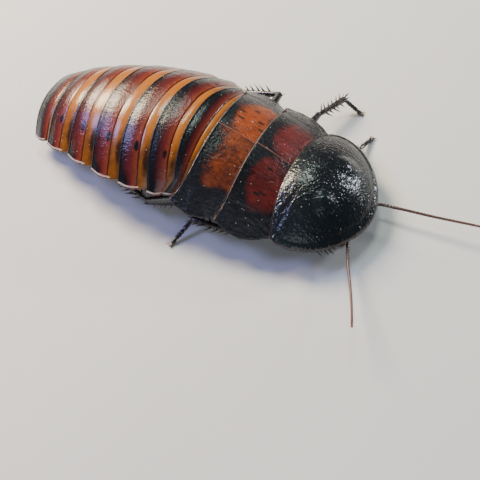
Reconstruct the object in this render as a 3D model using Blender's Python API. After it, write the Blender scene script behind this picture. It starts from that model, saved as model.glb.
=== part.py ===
"""Madagascar hissing cockroach, an adult female at life size, as solids.

The animal walks towards +X with its left side at +Y, and stands on six feet at z = 0.
Lengths are metres. Every size below is a real one, written in millimetres times MM.
"""

import math

import bmesh
import bpy
import numpy as np

MM = 0.001
GAP = 0.3 * MM

# Hind edge of each plate of the back, from the shield over the head to the tail:
# (name, x on the midline, half width, arch above the side edge, height of the side edge,
#  how far the edge bows back at the sides, how far its corners reach back past that,
#  how far the plate's side bulges out between its corners)
BACK_PLATES = (
    ("pronotum", 0.0, 12.8, 4.5, 5.4, -2.2, 0.0, 0.0),
    ("mesonotum", -6.7, 13.8, 5.3, 6.9, 0.1, 0.9, 1.6),
    ("metanotum", -14.0, 13.9, 6.0, 7.8, 0.7, 1.4, 1.3),
    ("tergite_1", -18.0, 13.8, 6.7, 8.2, -2.8, 0.0, 0.0),
    ("tergite_2", -23.2, 14.6, 7.0, 8.1, -3.4, 0.4, 0.5),
    ("tergite_3", -28.6, 14.8, 6.9, 7.7, -3.0, 0.4, 0.5),
    ("tergite_4", -34.4, 13.9, 6.6, 7.2, -2.5, 0.4, 0.6),
    ("tergite_5", -40.2, 12.4, 5.9, 6.3, -1.9, 0.4, 0.6),
    ("tergite_6", -46.0, 10.8, 4.9, 4.9, -1.5, 0.4, 0.6),
    ("tergite_7", -50.8, 9.1, 3.8, 3.3, -1.3, 0.0, 0.5),
)
ARCH_POWER = 2.3
BOW_POWER = 2.5
CORNER_POWER = 8
SHORTEST_PLATE = 1.3 * MM
EDGE_THICKNESS = 0.5 * MM
PLATE_CROWN = 0.15 * MM
BULGE_POWER = 5
BULGE_DROP = 0.45

# One plate over the next: the hind edge is a lip, and the plate behind starts under it.
LIP_THICKNESS = 0.15 * MM
LIP_DEPTH = 0.85 * MM
LIP_REACH = 1.1 * MM
LIP_FOOT = 0.05 * MM
STEP_ON_TOP = 0.5 * MM
STEP_AT_SIDE = 0.35 * MM

# The shield over the head.
SHIELD_FRONT = 15.2 * MM
SHIELD_POLE = (4.0 * MM, 10.55 * MM)
SHIELD_OUTLINE_POWER = 1.31
SHIELD_BULGE = 0.116
SHIELD_FRONT_DROP = 1.65 * MM
SHIELD_DOME_POWER = 1.95
SHIELD_RIM = 0.5 * MM
SHIELD_THICKNESS = 1.25 * MM
SHIELD_RIM_WIDTH = 2.0 * MM
TUBERCLE_AT = (8.2 * MM, 4.6 * MM)
TUBERCLE_RADIUS = 2.6 * MM
TUBERCLE_HEIGHT = 0.55 * MM

# Belly plates: depth of each below the side edge of the plate above it.
BELLY_DEPTHS = {
    "tergite_1": 5.2, "tergite_2": 5.3, "tergite_3": 5.2, "tergite_4": 5.0,
    "tergite_5": 4.5, "tergite_6": 3.3, "tergite_7": 1.9,
}
BELLY_WIDTH_SHARE = 0.92
BELLY_POWER = 3.0
CHEST_POWER = 10.0
UNDER_PLATES = 0.55 * MM
CHEST_HALF_WIDTH = 7.6 * MM
CHEST_FLOOR = 3.7 * MM
CHEST_REAR_HALF_WIDTH = 10.5 * MM

# The prothorax from its hind end to the neck:
# (x, half width, height of the top, height of the bottom, share of the shield's bow)
NECK_STATIONS = (
    (1.4, 7.6, 8.2, 3.7, 1.0),
    (3.0, 7.4, 8.6, 3.7, 0.8),
    (5.4, 6.2, 8.1, 3.7, 0.4),
    (6.8, 3.6, 7.2, 3.8, 0.1),
    (7.9, 1.7, 6.0, 4.2, 0.0),
)

# The tail plate, row by row: (how far ahead of the last hind edge, share of the half width,
# share of the arch, how far it hangs below the side edge)
TAIL_ROWS = (
    (LIP_REACH - GAP, 1.0, 0.62, 0.0),
    (0.0, 1.0, 0.6, 0.0),
    (-0.9 * MM, 0.88, 0.48, 0.1 * MM),
    (-1.7 * MM, 0.55, 0.3, 0.2 * MM),
)
TAIL_PLATE_HALF_WIDTH = 5.4 * MM
CERCUS_ROOT = (-49.9, 5.3, 1.85)
CERCUS_WAY = (-0.94, 0.33, -0.1)
CERCUS_LENGTH = 2.3 * MM
CERCUS_RADIUS = 0.6 * MM
CERCUS_SHAPE = (0.85, 1.0, 0.95, 0.8, 0.55, 0.15)

# The head hangs under the shield, mouth down: (height, x of the centre, half depth, half width)
HEAD_RINGS = (
    (6.4, 9.75, 0.55, 0.9),
    (6.1, 9.85, 1.15, 1.8),
    (5.5, 10.0, 1.6, 2.45),
    (4.6, 10.2, 1.85, 2.75),
    (3.6, 10.35, 1.85, 2.7),
    (2.8, 10.4, 1.6, 2.35),
    (2.25, 10.5, 1.3, 1.85),
    (2.05, 10.55, 1.1, 1.6),
    (1.85, 10.7, 1.2, 1.65),
    (1.35, 10.75, 1.0, 1.35),
    (0.95, 10.7, 0.6, 0.8),
)
HEAD_ROUNDNESS = 0.85
EYE_CENTRE = (10.55 * MM, 2.75 * MM, 4.75 * MM)
EYE_HALVES = (1.45 * MM, 1.05 * MM, 0.75 * MM)
EYE_UPRIGHT = (-0.25, 0.0, 1.0)

# Feelers of the mouth: the points of the left one's middle line, and its radius.
PALPS = {
    "maxillary": (((11.6, 1.95, 2.35), (12.7, 2.7, 2.3), (13.0, 3.1, 1.5), (12.3, 3.3, 0.75)), 0.26),
    "labial": (((9.9, 1.75, 1.75), (9.7, 2.5, 1.4), (9.95, 2.8, 0.95), (10.5, 2.9, 0.7)), 0.25),
}

# Feelers: the points that each one's middle line passes near.
FEELER_ROOT = (11.6, 1.3, 4.3)
FEELER_POINTS = {
    "left": ((12.6, 2.0, 3.6), (15.0, 3.8, 2.6), (18.5, 4.2, 2.9), (23.5, 4.8, 3.1),
             (29.0, 5.5, 3.5), (34.5, 6.4, 3.7), (39.0, 7.6, 3.6)),
    "right": ((12.5, -2.1, 3.6), (12.8, -5.0, 2.8), (14.3, -8.9, 2.9), (16.2, -12.7, 3.3),
              (18.0, -16.4, 4.1), (19.4, -19.7, 5.2), (20.3, -22.1, 6.3)),
}
FEELER_RADIUS = 0.31 * MM
FEELER_TIP_RADIUS = 0.19 * MM
SCAPE_RADIUS = 0.5 * MM
SCAPE_SHAPE = (1.0, 1.0, 1.0, 0.9, 0.7)
SCAPE_LENGTH = 1.7 * MM
FEELER_PARTING = 0.45

# Legs: root of the coxa, trochanter, knee, ankle and foot.
LEG_POINTS = {
    "fore_left": ((4.6, 2.7, 2.9), (6.4, 6.6, 2.7), (8.2, 11.0, 2.8), (6.6, 14.6, 1.6), (7.4, 19.2, 0.3)),
    "fore_right": ((4.6, -2.7, 2.9), (5.6, -6.4, 2.7), (8.3, -10.1, 2.9), (10.4, -7.0, 1.5), (11.9, -5.2, 0.3)),
    "mid_left": ((-1.9, 3.2, 2.9), (-4.6, 9.0, 2.8), (-2.9, 17.6, 3.8), (-0.5, 24.4, 2.8), (2.9, 24.6, 0.3)),
    "mid_right": ((-1.9, -3.2, 2.9), (-4.2, -7.4, 2.8), (-3.4, -12.6, 3.4), (-12.9, -13.0, 2.3), (-14.5, -17.7, 0.3)),
    "hind_left": ((-9.6, 3.2, 2.9), (-12.6, 8.6, 2.8), (-11.4, 18.4, 4.8), (-21.8, 17.0, 2.4), (-29.6, 16.6, 0.3)),
    "hind_right": ((-9.6, -3.2, 2.9), (-13.4, -8.4, 2.8), (-21.8, -13.6, 3.3), (-31.2, -9.6, 1.7), (-38.4, -8.6, 0.3)),
}
# Half heights and half thicknesses at the thickest place of each length of a leg.
LEG_SIZES = {
    "fore": {"coxa": (1.05, 1.5), "femur": (0.95, 0.75), "tibia": 0.5, "tarsus": 0.38, "spines": 9},
    "mid": {"coxa": (1.1, 1.7), "femur": (1.15, 0.85), "tibia": 0.58, "tarsus": 0.4, "spines": 12},
    "hind": {"coxa": (1.1, 1.9), "femur": (1.3, 0.95), "tibia": 0.68, "tarsus": 0.42, "spines": 16},
}
# Each length of a leg: (share of its length, share of its height, share of its thickness)
COXA_SHAPE = ((0, 0.55, 0.55), (0.12, 0.9, 0.9), (0.4, 1, 1), (0.75, 0.85, 0.8), (1, 0.62, 0.5))
FEMUR_SHAPE = (
    (0, 0.55, 0.6), (0.1, 0.7, 0.75), (0.28, 0.98, 0.98), (0.55, 1, 1),
    (0.8, 0.78, 0.8), (0.93, 0.62, 0.68), (1, 0.56, 0.6),
)
TIBIA_SHAPE = (
    (0, 0.75, 0.68), (0.08, 0.8, 0.72), (0.4, 0.9, 0.81),
    (0.8, 1.08, 0.97), (0.95, 1.1, 0.99), (1, 0.85, 0.76),
)
TARSUS_JOINTS = (0.0, 0.42, 0.56, 0.68, 0.78, 1.0)
MITRE_ROOM = 0.15 * MM

FEMUR_SPINES = ((0.42, 1), (0.57, -1), (0.72, 1))
TIBIA_SPINE_TURNS = (0.15, 2.2, 4.1)
SPINE_LENGTH = 1.6 * MM
SPINE_RADIUS = 0.19 * MM
SPINE_SINK = 0.3 * MM
LOWEST_SPINE_TIP = 0.25 * MM
CLAW_LENGTH = 0.9 * MM
PAD_HALVES = (0.55 * MM, 0.45 * MM, 0.3 * MM)

PLATE_COUNT_ACROSS = 15
BELLY_COUNT_ACROSS = 11

COLOURS = {
    "black_cuticle": (0.012, 0.012, 0.014, 0.32),
    "maroon_cuticle": (0.16, 0.025, 0.018, 0.25),
    "belly_cuticle": (0.25, 0.09, 0.03, 0.35),
    "brown_cuticle": (0.035, 0.014, 0.01, 0.3),
    "eye": (0.01, 0.008, 0.008, 0.12),
}


def clear_scene():
    for obj in list(bpy.data.objects):
        bpy.data.objects.remove(obj, do_unlink=True)


def material(name):
    """One Principled material for each name in COLOURS."""
    found = bpy.data.materials.get(name)
    if found:
        return found
    red, green, blue, roughness = COLOURS[name]
    made = bpy.data.materials.new(name)
    made.use_nodes = True
    shader = made.node_tree.nodes["Principled BSDF"]
    shader.inputs["Base Color"].default_value = (red, green, blue, 1.0)
    shader.inputs["Roughness"].default_value = roughness
    shader.inputs["Metallic"].default_value = 0.0
    return made


def mesh_object(name, points, faces, colour):
    """A mesh object with its faces turned outwards and smooth shading below 40 degrees."""
    mesh = bpy.data.meshes.new(name)
    mesh.from_pydata([tuple(map(float, p)) for p in points], [], [tuple(map(int, f)) for f in faces])
    work = bmesh.new()
    work.from_mesh(mesh)
    bmesh.ops.recalc_face_normals(work, faces=work.faces)
    if work.calc_volume(signed=True) < 0:
        bmesh.ops.reverse_faces(work, faces=work.faces)
    work.to_mesh(mesh)
    work.free()
    mesh.shade_smooth()
    mesh.set_sharp_from_angle(angle=math.radians(40))
    mesh.materials.append(material(colour))
    obj = bpy.data.objects.new(name, mesh)
    bpy.context.scene.collection.objects.link(obj)
    return obj


def lofted(rings, caps="fan"):
    """Points and faces of a closed skin over rings of equal count. Its ends are closed by one
    face each, or, where a ring is an upper row and a lower row, by strips between the rows."""
    rings = np.asarray(rings)
    count, around = rings.shape[:2]
    faces = []
    for i in range(count - 1):
        for j in range(around):
            k = (j + 1) % around
            faces.append((i * around + j, i * around + k, (i + 1) * around + k, (i + 1) * around + j))
    last = (count - 1) * around
    if caps == "fan":
        faces.append(tuple(range(around)))
        faces.append(tuple(last + j for j in range(around)))
    else:
        half = around // 2
        for first in (0, last):
            for j in range(half - 1):
                faces.append((first + j, first + j + 1, first + around - 2 - j, first + around - 1 - j))
    return rings.reshape(-1, 3), faces


def largest_part(obj):
    """Keeps only the largest closed surface of a mesh."""
    work = bmesh.new()
    work.from_mesh(obj.data)
    bmesh.ops.remove_doubles(work, verts=work.verts, dist=1e-7)
    left = set(work.faces)
    parts = []
    while left:
        stack = [left.pop()]
        part = set(stack)
        while stack:
            for edge in stack.pop().edges:
                for face in edge.link_faces:
                    if face in left:
                        left.discard(face)
                        part.add(face)
                        stack.append(face)
        parts.append(part)
    parts.sort(key=lambda part: sum(face.calc_area() for face in part), reverse=True)
    for part in parts[1:]:
        bmesh.ops.delete(work, geom=list(part), context="FACES")
    loose = [v for v in work.verts if not v.link_faces]
    bmesh.ops.delete(work, geom=loose, context="VERTS")
    work.to_mesh(obj.data)
    work.free()


def combine(body, others, operation):
    """Joins others to body, or cuts them from it, in one Boolean, and removes them."""
    group = bpy.data.collections.new(body.name + "_pieces")
    bpy.context.scene.collection.children.link(group)
    for other in others:
        bpy.context.scene.collection.objects.unlink(other)
        group.objects.link(other)
    boolean = body.modifiers.new(operation.lower(), "BOOLEAN")
    boolean.operation = operation
    boolean.operand_type = "COLLECTION"
    boolean.collection = group
    boolean.solver = "EXACT"
    bpy.context.view_layer.update()
    graph = bpy.context.evaluated_depsgraph_get()
    result = bpy.data.meshes.new_from_object(body.evaluated_get(graph))
    result.name = body.name + "_solid"
    body.modifiers.clear()
    body.data = result
    for other in others:
        bpy.data.objects.remove(other, do_unlink=True)
    bpy.data.collections.remove(group)
    largest_part(body)
    body.data.shade_smooth()
    body.data.set_sharp_from_angle(angle=math.radians(40))
    return body


def plate_row(index):
    """The sizes of one back plate's hind edge, in metres."""
    _, *sizes = BACK_PLATES[index]
    return [size * MM for size in sizes]


def hind_edge_x(index, across):
    """Where a plate's hind edge lies along the body, for each place across it from -1 to 1."""
    x, _, _, _, bow, corner, _ = plate_row(index)
    edge = x - bow * np.abs(across) ** BOW_POWER - corner * np.abs(across) ** CORNER_POWER
    if index:
        edge = np.minimum(edge, hind_edge_x(index - 1, across) - SHORTEST_PLATE)
    return edge


def plate_section(index, across, depth, ahead):
    """Upper row and lower row of a plate's cross-section at its hind edge, depth inside its
    surface and ahead of its edge. Up to the side edge the section is an arch, height =
    edge + arch * (1 - |across| ** ARCH_POWER), drawn in towards the body's middle by depth."""
    _, half, arch, edge, _, _, _ = plate_row(index)
    y = half * across
    z = edge + arch * (1 - np.abs(across) ** ARCH_POWER)
    middle = edge - EDGE_THICKNESS / 2
    reach = np.hypot(y, z - middle)
    share = (reach - depth) / reach
    side = (half - depth[0]) / half
    upper_x = hind_edge_x(index, across * share) + ahead
    lower_x = hind_edge_x(index, across * side) + ahead
    upper = np.stack([upper_x, y * share, middle + (z - middle) * share], -1)
    lower = np.stack([lower_x, y * side, np.full_like(y, edge - EDGE_THICKNESS)], -1)
    return upper, lower


def step_depth(across, extra):
    """How far a plate's front lies under the edge before it: more at the sides than on top."""
    return STEP_ON_TOP + STEP_AT_SIDE * np.abs(across) ** 4 + extra


def back_plate(index, colour):
    """One plate of the back as a thick dome, from under the plate before it to its own lip."""
    across = np.sin(np.linspace(-1, 1, PLATE_COUNT_ACROSS) * math.pi / 2)
    tucked = plate_section(index - 1, across, step_depth(across, LIP_DEPTH - LIP_THICKNESS), LIP_REACH - GAP)
    front = plate_section(index - 1, across, step_depth(across, 0), 0)
    rim = plate_section(index, across, across * 0, 0)
    rows = [tucked, front]
    under = rim[1] + [LIP_REACH + 2 * LIP_FOOT, 0, 0]
    bulge = plate_row(index)[6]
    for share in (0.25, 0.5, 0.8):
        swell = math.sin(share * math.pi)
        outward = bulge * swell * np.sign(across) * np.abs(across) ** BULGE_POWER
        move = np.stack([0 * across, outward, -BULGE_DROP * np.abs(outward)], -1)
        upper = front[0] * (1 - share) + rim[0] * share + move + [0, 0, PLATE_CROWN * swell]
        lower = front[1] * (1 - share) + under * share + move
        rows.append((upper, lower))
    rows.append((rim[0], under))
    lip = plate_section(index, across, across * 0 + LIP_THICKNESS, 0)
    rows.append((lip[0], lip[1] + [LIP_REACH + LIP_FOOT, 0, 0]))
    rows.append(plate_section(index, across, across * 0 + LIP_DEPTH, LIP_REACH))
    rings = [np.concatenate([upper, lower[::-1]]) for upper, lower in rows]
    return mesh_object(BACK_PLATES[index][0], *lofted(rings, "strips"), colour)


def belly_row(index, across, width, depth, ahead, power):
    """Upper row and lower row of a belly plate under one hind edge."""
    _, half, _, edge, _, _, _ = plate_row(index)
    x = hind_edge_x(index, across * width / half) + ahead
    top = edge - EDGE_THICKNESS - UNDER_PLATES
    upper = np.stack([x, width * across, np.full_like(x, top)], -1)
    lower = upper - np.stack([0 * x, 0 * x, GAP + (depth - GAP) * (1 - np.abs(across) ** power)], -1)
    return upper, lower


def belly_plate(name, first, last, sizes, power, colour):
    """A block under the back plates from hind edge first to hind edge last. sizes gives its half
    width and depth at each, and power how square its floor is."""
    across = np.linspace(-1, 1, BELLY_COUNT_ACROSS)
    across = np.sign(across) * np.abs(across) ** 0.8
    (front_width, front_depth), (rear_width, rear_depth) = sizes
    step = STEP_ON_TOP
    rows = [belly_row(first, across, front_width - step, front_depth - step, LIP_REACH - GAP, power)]
    middle_width = (front_width + rear_width) / 2 - step / 2
    middle_depth = (front_depth + rear_depth) / 2 - step / 2
    ahead = belly_row(first, across, front_width - step, front_depth - step, 0, power)
    behind = belly_row(last, across, rear_width, rear_depth, LIP_REACH, power)
    share = 0.5
    upper = ahead[0] * (1 - share) + behind[0] * share
    lower = ahead[1] * (1 - share) + behind[1] * share
    upper[:, 1] = middle_width * across
    lower[:, 1] = middle_width * across
    lower[:, 2] = upper[:, 2] - GAP - (middle_depth - GAP) * (1 - np.abs(across) ** power)
    rows.append((upper, lower))
    rows.append(behind)
    rings = [np.concatenate([upper, lower[::-1]]) for upper, lower in rows]
    return mesh_object(name, *lofted(rings, "strips"), colour)


def belly_sizes(index):
    """Half width and depth of the belly under a tergite's hind edge."""
    name, _, half, *_ = BACK_PLATES[index]
    return half * MM * BELLY_WIDTH_SHARE, BELLY_DEPTHS[name] * MM - EDGE_THICKNESS - UNDER_PLATES


def chest_sizes(index, half_width):
    """Half width and depth of the chest under a thoracic plate's hind edge."""
    edge = plate_row(index)[3]
    return half_width, edge - EDGE_THICKNESS - UNDER_PLATES - CHEST_FLOOR


def shield_outline(angle):
    """The shield's edge seen from above and its height, for angles from 0 at the front, round
    past the side at a quarter turn, to half a turn at the middle of the hind edge."""
    _, half, arch, edge, bow, _, _ = plate_row(0)
    turn = abs(angle)
    side = math.copysign(1.0, angle)
    if turn <= math.pi / 2:
        a = math.pi / 2 - turn
        x = -bow + (SHIELD_FRONT + bow) * max(math.sin(a), 0.0) ** SHIELD_OUTLINE_POWER
        y = half * math.cos(a) * (1 + SHIELD_BULGE * math.sin(2 * a))
        z = edge - SHIELD_FRONT_DROP * math.sin(a) ** 2
    else:
        across = math.sin((math.pi - turn))
        x = float(hind_edge_x(0, np.array([across]))[0])
        y = half * across
        z = edge + arch * (1 - across**ARCH_POWER)
    return x, y * side, z


def tubercles(x, y):
    """The two low knobs of the shield, as smooth bumps that fade at TUBERCLE_RADIUS."""
    height = 0.0
    for side in (-1, 1):
        away = math.hypot(x - TUBERCLE_AT[0], y - side * TUBERCLE_AT[1]) / TUBERCLE_RADIUS
        if away < 1:
            height += TUBERCLE_HEIGHT * (1 - away * away) ** 2
    return height


def smooth_step(value):
    """A ramp from 0 to 1 that starts and ends level."""
    held = min(1.0, max(0.0, value))
    return held * held * (3 - 2 * held)


def shield_thickness(x, y, inside, angle):
    """The shell's wall: a rim in front and at the sides that thickens inwards, and a thin lip
    along the hind edge, over the plate behind."""
    wall = SHIELD_THICKNESS
    if abs(angle) <= math.pi / 2:
        wall = SHIELD_RIM + (SHIELD_THICKNESS - SHIELD_RIM) * smooth_step(inside / SHIELD_RIM_WIDTH)
    across = np.array([min(1.0, abs(y) / plate_row(0)[1])])
    from_hind_edge = x - float(hind_edge_x(0, across)[0])
    return LIP_THICKNESS + (wall - LIP_THICKNESS) * smooth_step((from_hind_edge - LIP_REACH) / SHIELD_RIM_WIDTH)


def shield():
    """The pronotum: a domed shell on polar rays from its highest point to its edge."""
    angles = np.linspace(-math.pi, math.pi, 37)[:-1]
    shares = (0.2, 0.4, 0.58, 0.74, 0.88, 1.0)
    pole_x, pole_z = SHIELD_POLE
    top, under = [], []
    for share in shares:
        for angle in angles:
            x, y, z = shield_outline(angle)
            px = pole_x + (x - pole_x) * share
            py = y * share
            pz = pole_z + (z - pole_z) * share**SHIELD_DOME_POWER
            top.append((px, py, pz + tubercles(px, py)))
            under.append((px, py, pz - shield_thickness(px, py, (1 - share) * math.hypot(x - pole_x, y), angle)))
    rays = len(angles)
    points = [*top, *under, (pole_x, 0, pole_z), (pole_x, 0, pole_z - SHIELD_THICKNESS)]
    offset = len(top)
    faces = []
    for j in range(rays):
        k = (j + 1) % rays
        for i in range(len(shares) - 1):
            a, b, c, d = i * rays + j, i * rays + k, (i + 1) * rays + k, (i + 1) * rays + j
            faces.append((a, b, c, d))
            faces.append((offset + d, offset + c, offset + b, offset + a))
        rim = (len(shares) - 1) * rays
        faces.append((rim + j, rim + k, offset + rim + k, offset + rim + j))
        faces.append((2 * offset, k, j))
        faces.append((2 * offset + 1, offset + j, offset + k))
    return mesh_object("pronotum", points, faces, "black_cuticle")


def prothorax():
    """The block under the shield that carries the head and the fore legs."""
    across = np.linspace(-1, 1, BELLY_COUNT_ACROSS)
    half = plate_row(0)[1]
    behind = -plate_row(0)[4]
    rings = []
    for x, width, top, bottom, bowed in NECK_STATIONS:
        y = width * MM * across
        place = x * MM + bowed * behind * (np.abs(y) / half) ** BOW_POWER
        arch = 1 - np.abs(across) ** BOW_POWER
        upper = np.stack([place, y, bottom * MM + GAP + (top * MM - bottom * MM - GAP) * arch], -1)
        lower = np.stack([place, y, np.full_like(place, bottom * MM)], -1)
        rings.append(np.concatenate([upper, lower[::-1]]))
    return mesh_object("prothorax", *lofted(rings, "strips"), "brown_cuticle")


def tail():
    """The last back plate and the two cerci."""
    across = np.sin(np.linspace(-1, 1, BELLY_COUNT_ACROSS) * math.pi / 2)
    last = len(BACK_PLATES) - 1
    _, half, arch, edge, _, _, _ = plate_row(last)
    narrow = TAIL_PLATE_HALF_WIDTH / half
    rows = []
    for ahead, width, height, drop in TAIL_ROWS:
        place = hind_edge_x(last, across * narrow) + ahead
        y = TAIL_PLATE_HALF_WIDTH * width * across
        z = edge - drop + arch * height * (1 - np.abs(across) ** ARCH_POWER)
        upper = np.stack([place, y, z], -1)
        lower = np.stack([place, y, np.full_like(place, edge - drop - EDGE_THICKNESS)], -1)
        rows.append(np.concatenate([upper, lower[::-1]]))
    mesh_object("supra_anal_plate", *lofted(rows, "strips"), "maroon_cuticle")
    for side, word in ((1, "left"), (-1, "right")):
        root = np.array(CERCUS_ROOT) * MM * [1, side, 1]
        way = np.array(CERCUS_WAY) * [1, side, 1]
        along = np.linspace(0, 1, len(CERCUS_SHAPE))
        radii = CERCUS_RADIUS * np.array(CERCUS_SHAPE)
        rings = tube_rings(root, root + way * CERCUS_LENGTH, along, radii, radii, 8)
        mesh_object(f"cercus_{word}", *lofted(rings), "brown_cuticle")


def frame_of(way):
    """Two unit vectors square to a direction: one across and one as upright as can be."""
    way = np.asarray(way, float)
    way = way / np.linalg.norm(way)
    across = np.cross([0, 0, 1.0], way)
    if np.linalg.norm(across) < 1e-6:
        across = np.array([0, 1.0, 0])
    across = across / np.linalg.norm(across)
    return way, across, np.cross(way, across)


def tube_rings(start, end, along, heights, widths, sides, start_plane=None, end_plane=None):
    """Elliptic rings between two points. A plane's normal shears the first or last ring into a
    mitre, so that two lengths of a leg meet face to face, and the rings beside it stay clear."""
    start, end = np.asarray(start, float), np.asarray(end, float)
    way, across, up = frame_of(end - start)
    turn = np.linspace(0, 2 * math.pi, sides, endpoint=False)
    rings = []
    for i, share in enumerate(along):
        centre = start + (end - start) * share
        ring = centre + np.outer(np.cos(turn) * widths[i], across) + np.outer(np.sin(turn) * heights[i], up)
        plane = start_plane if i == 0 else end_plane if i == len(along) - 1 else None
        if plane is not None:
            ring = ring + np.outer(((centre - ring) @ plane) / (way @ plane), way)
        elif i and start_plane is not None:
            short = np.maximum(0, MITRE_ROOM * i - (ring - start) @ start_plane)
            ring = ring + np.outer(short / (way @ start_plane), way)
        if plane is None and end_plane is not None:
            short = np.maximum(0, MITRE_ROOM * (len(along) - 1 - i) - (end - ring) @ end_plane)
            ring = ring - np.outer(short / (way @ end_plane), way)
        rings.append(ring)
    return np.array(rings)


def spine(root, way, length, radius, colour):
    """A sharp four-sided spine with its root sunk in what it grows from."""
    way, across, up = frame_of(way)
    base = root - way * SPINE_SINK
    lift = max(0.0, LOWEST_SPINE_TIP - (root + way * length)[2])
    points = [base + radius * (c * across + s * up) for c, s in ((1, 0), (0, 1), (-1, 0), (0, -1))]
    middle = root + way * length * 0.5
    points += [middle + radius * 0.62 * (c * across + s * up) for c, s in ((1, 0), (0, 1), (-1, 0), (0, -1))]
    points.append(root + way * length + [0, 0, lift])
    faces = [(0, 1, 2, 3)]
    for j in range(4):
        k = (j + 1) % 4
        faces.append((j, k, 4 + k, 4 + j))
        faces.append((4 + j, 4 + k, 8))
    return mesh_object("spine", points, faces, colour)


def joint_plane(before, joint, after):
    """The normal of the mitre between two lengths that meet at a joint."""
    first = (joint - before) / np.linalg.norm(joint - before)
    second = (after - joint) / np.linalg.norm(after - joint)
    normal = first + second
    return normal / np.linalg.norm(normal)


def limb(name, ends, shape, size, sides, planes):
    """One length of a leg, its rings read from a shape and a (height, thickness)."""
    along, high, wide = np.array(shape).T
    rings = tube_rings(*ends, along, size[0] * high, size[1] * wide, sides, *planes)
    return mesh_object(name, *lofted(rings), "brown_cuticle")


def femur_spines(start, end, height, width):
    """The spines under a thigh, to its two sides in turn."""
    way, across, up = frame_of(end - start)
    spines = []
    for share, side in FEMUR_SPINES:
        root = start + (end - start) * share - up * height * 0.7 + across * side * width * 0.3
        lean = way * 0.5 - up * 0.7 + across * side * 0.3
        spines.append(spine(root, lean, SPINE_LENGTH * 0.55, SPINE_RADIUS * 0.8, "brown_cuticle"))
    return spines


def tibia_spines(start, end, thick, count):
    """The spines round a shin, in three rows, of slightly different lengths."""
    way, across, up = frame_of(end - start)
    spines = []
    for i in range(count):
        share = 0.2 + 0.72 * (i + 0.5) / count
        turn = TIBIA_SPINE_TURNS[i % 3] + 0.35 * math.sin(2.4 * i)
        out = across * math.cos(turn) + up * math.sin(turn)
        root = start + (end - start) * share + out * thick * 0.75
        length = SPINE_LENGTH * (0.8 + 0.25 * math.sin(1.7 * i + 0.6))
        spines.append(spine(root, way * 0.75 + out, length, SPINE_RADIUS, "brown_cuticle"))
    return spines


def leg(name, points, sizes):
    """Coxa, femur, tibia and tarsus of one leg."""
    root, hip, knee, ankle, foot = (np.array(p) * MM for p in points)
    planes = [joint_plane(root, hip, knee), joint_plane(hip, knee, ankle), joint_plane(knee, ankle, foot)]
    hip_on = hip + planes[0] * GAP
    knee_on = knee + planes[1] * GAP
    ankle_on = ankle + planes[2] * GAP

    size = [length * MM for length in sizes["coxa"]]
    coxa = limb(f"coxa_{name}", (root, hip), COXA_SHAPE, size, 12, (None, planes[0]))
    cut_level(coxa, CHEST_FLOOR - GAP, above=True)

    size = [length * MM for length in sizes["femur"]]
    femur = limb(f"femur_{name}", (hip_on, knee), FEMUR_SHAPE, size, 10, planes[:2])
    combine(femur, femur_spines(hip_on, knee, *size), "UNION")

    thick = sizes["tibia"] * MM
    tibia = limb(f"tibia_{name}", (knee_on, ankle), TIBIA_SHAPE, (thick, thick), 8, planes[1:])
    combine(tibia, tibia_spines(knee_on, ankle, thick, sizes["spines"]), "UNION")

    tarsus(name, ankle_on, foot, sizes["tarsus"] * MM, planes[2])


def tarsus(name, ankle, foot, thick, plane):
    """Five short lengths that narrow where they join, two claws and the pad that stands."""
    along, radii = [0.0], [0.8]
    for start, end in zip(TARSUS_JOINTS[:-1], TARSUS_JOINTS[1:]):
        along += [start + (end - start) * 0.3, start + (end - start) * 0.85]
        radii += [0.85, 1.05]
        if end < 1:
            along.append(end)
            radii.append(0.62)
    along.append(1.0)
    radii.append(0.7)
    radii = thick * np.array(radii)
    rings = tube_rings(ankle, foot, np.array(along), radii, radii, 8, start_plane=plane)
    made = mesh_object(f"tarsus_{name}", *lofted(rings), "brown_cuticle")
    way, across, _ = frame_of(foot - ankle)
    level = np.array([way[0], way[1], 0.0])
    level /= np.linalg.norm(level)
    pieces = []
    for side in (1, -1):
        toe = level * 0.72 + across * side * 0.6 - np.array([0, 0, 0.1])
        pieces.append(spine(foot + level * 0.1 * MM, toe, CLAW_LENGTH, SPINE_RADIUS, "brown_cuticle"))
    pieces.append(ellipsoid("pad", foot + level * 0.28 * MM - [0, 0, 0.05 * MM], PAD_HALVES, level, "brown_cuticle"))
    combine(made, pieces, "UNION")
    cut_level(made, 0.0, above=False)


def cut_level(obj, height, above):
    """Cuts off what is above or below a height and closes the cut with a level face."""
    work = bmesh.new()
    work.from_mesh(obj.data)
    geometry = list(work.verts) + list(work.edges) + list(work.faces)
    way = (0, 0, 1 if above else -1)
    cut = bmesh.ops.bisect_plane(work, geom=geometry, plane_co=(0, 0, height), plane_no=way, clear_outer=True)
    edges = [e for e in cut["geom_cut"] if isinstance(e, bmesh.types.BMEdge)]
    bmesh.ops.holes_fill(work, edges=edges, sides=0)
    bmesh.ops.recalc_face_normals(work, faces=work.faces)
    work.to_mesh(obj.data)
    work.free()


def ellipsoid(name, centre, halves, forward, colour):
    """An ellipsoid of rings along its forward axis, with blunt ends."""
    way, across, up = frame_of(forward)
    turn = np.linspace(0, 2 * math.pi, 10, endpoint=False)
    rings = []
    for angle in np.linspace(math.pi * 0.06, math.pi * 0.94, 6):
        radius = math.sin(angle)
        middle = np.asarray(centre) - way * halves[0] * math.cos(angle)
        rings.append(middle + np.outer(np.cos(turn) * radius * halves[1], across)
                     + np.outer(np.sin(turn) * radius * halves[2], up))
    return mesh_object(name, *lofted(rings), colour)


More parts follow.
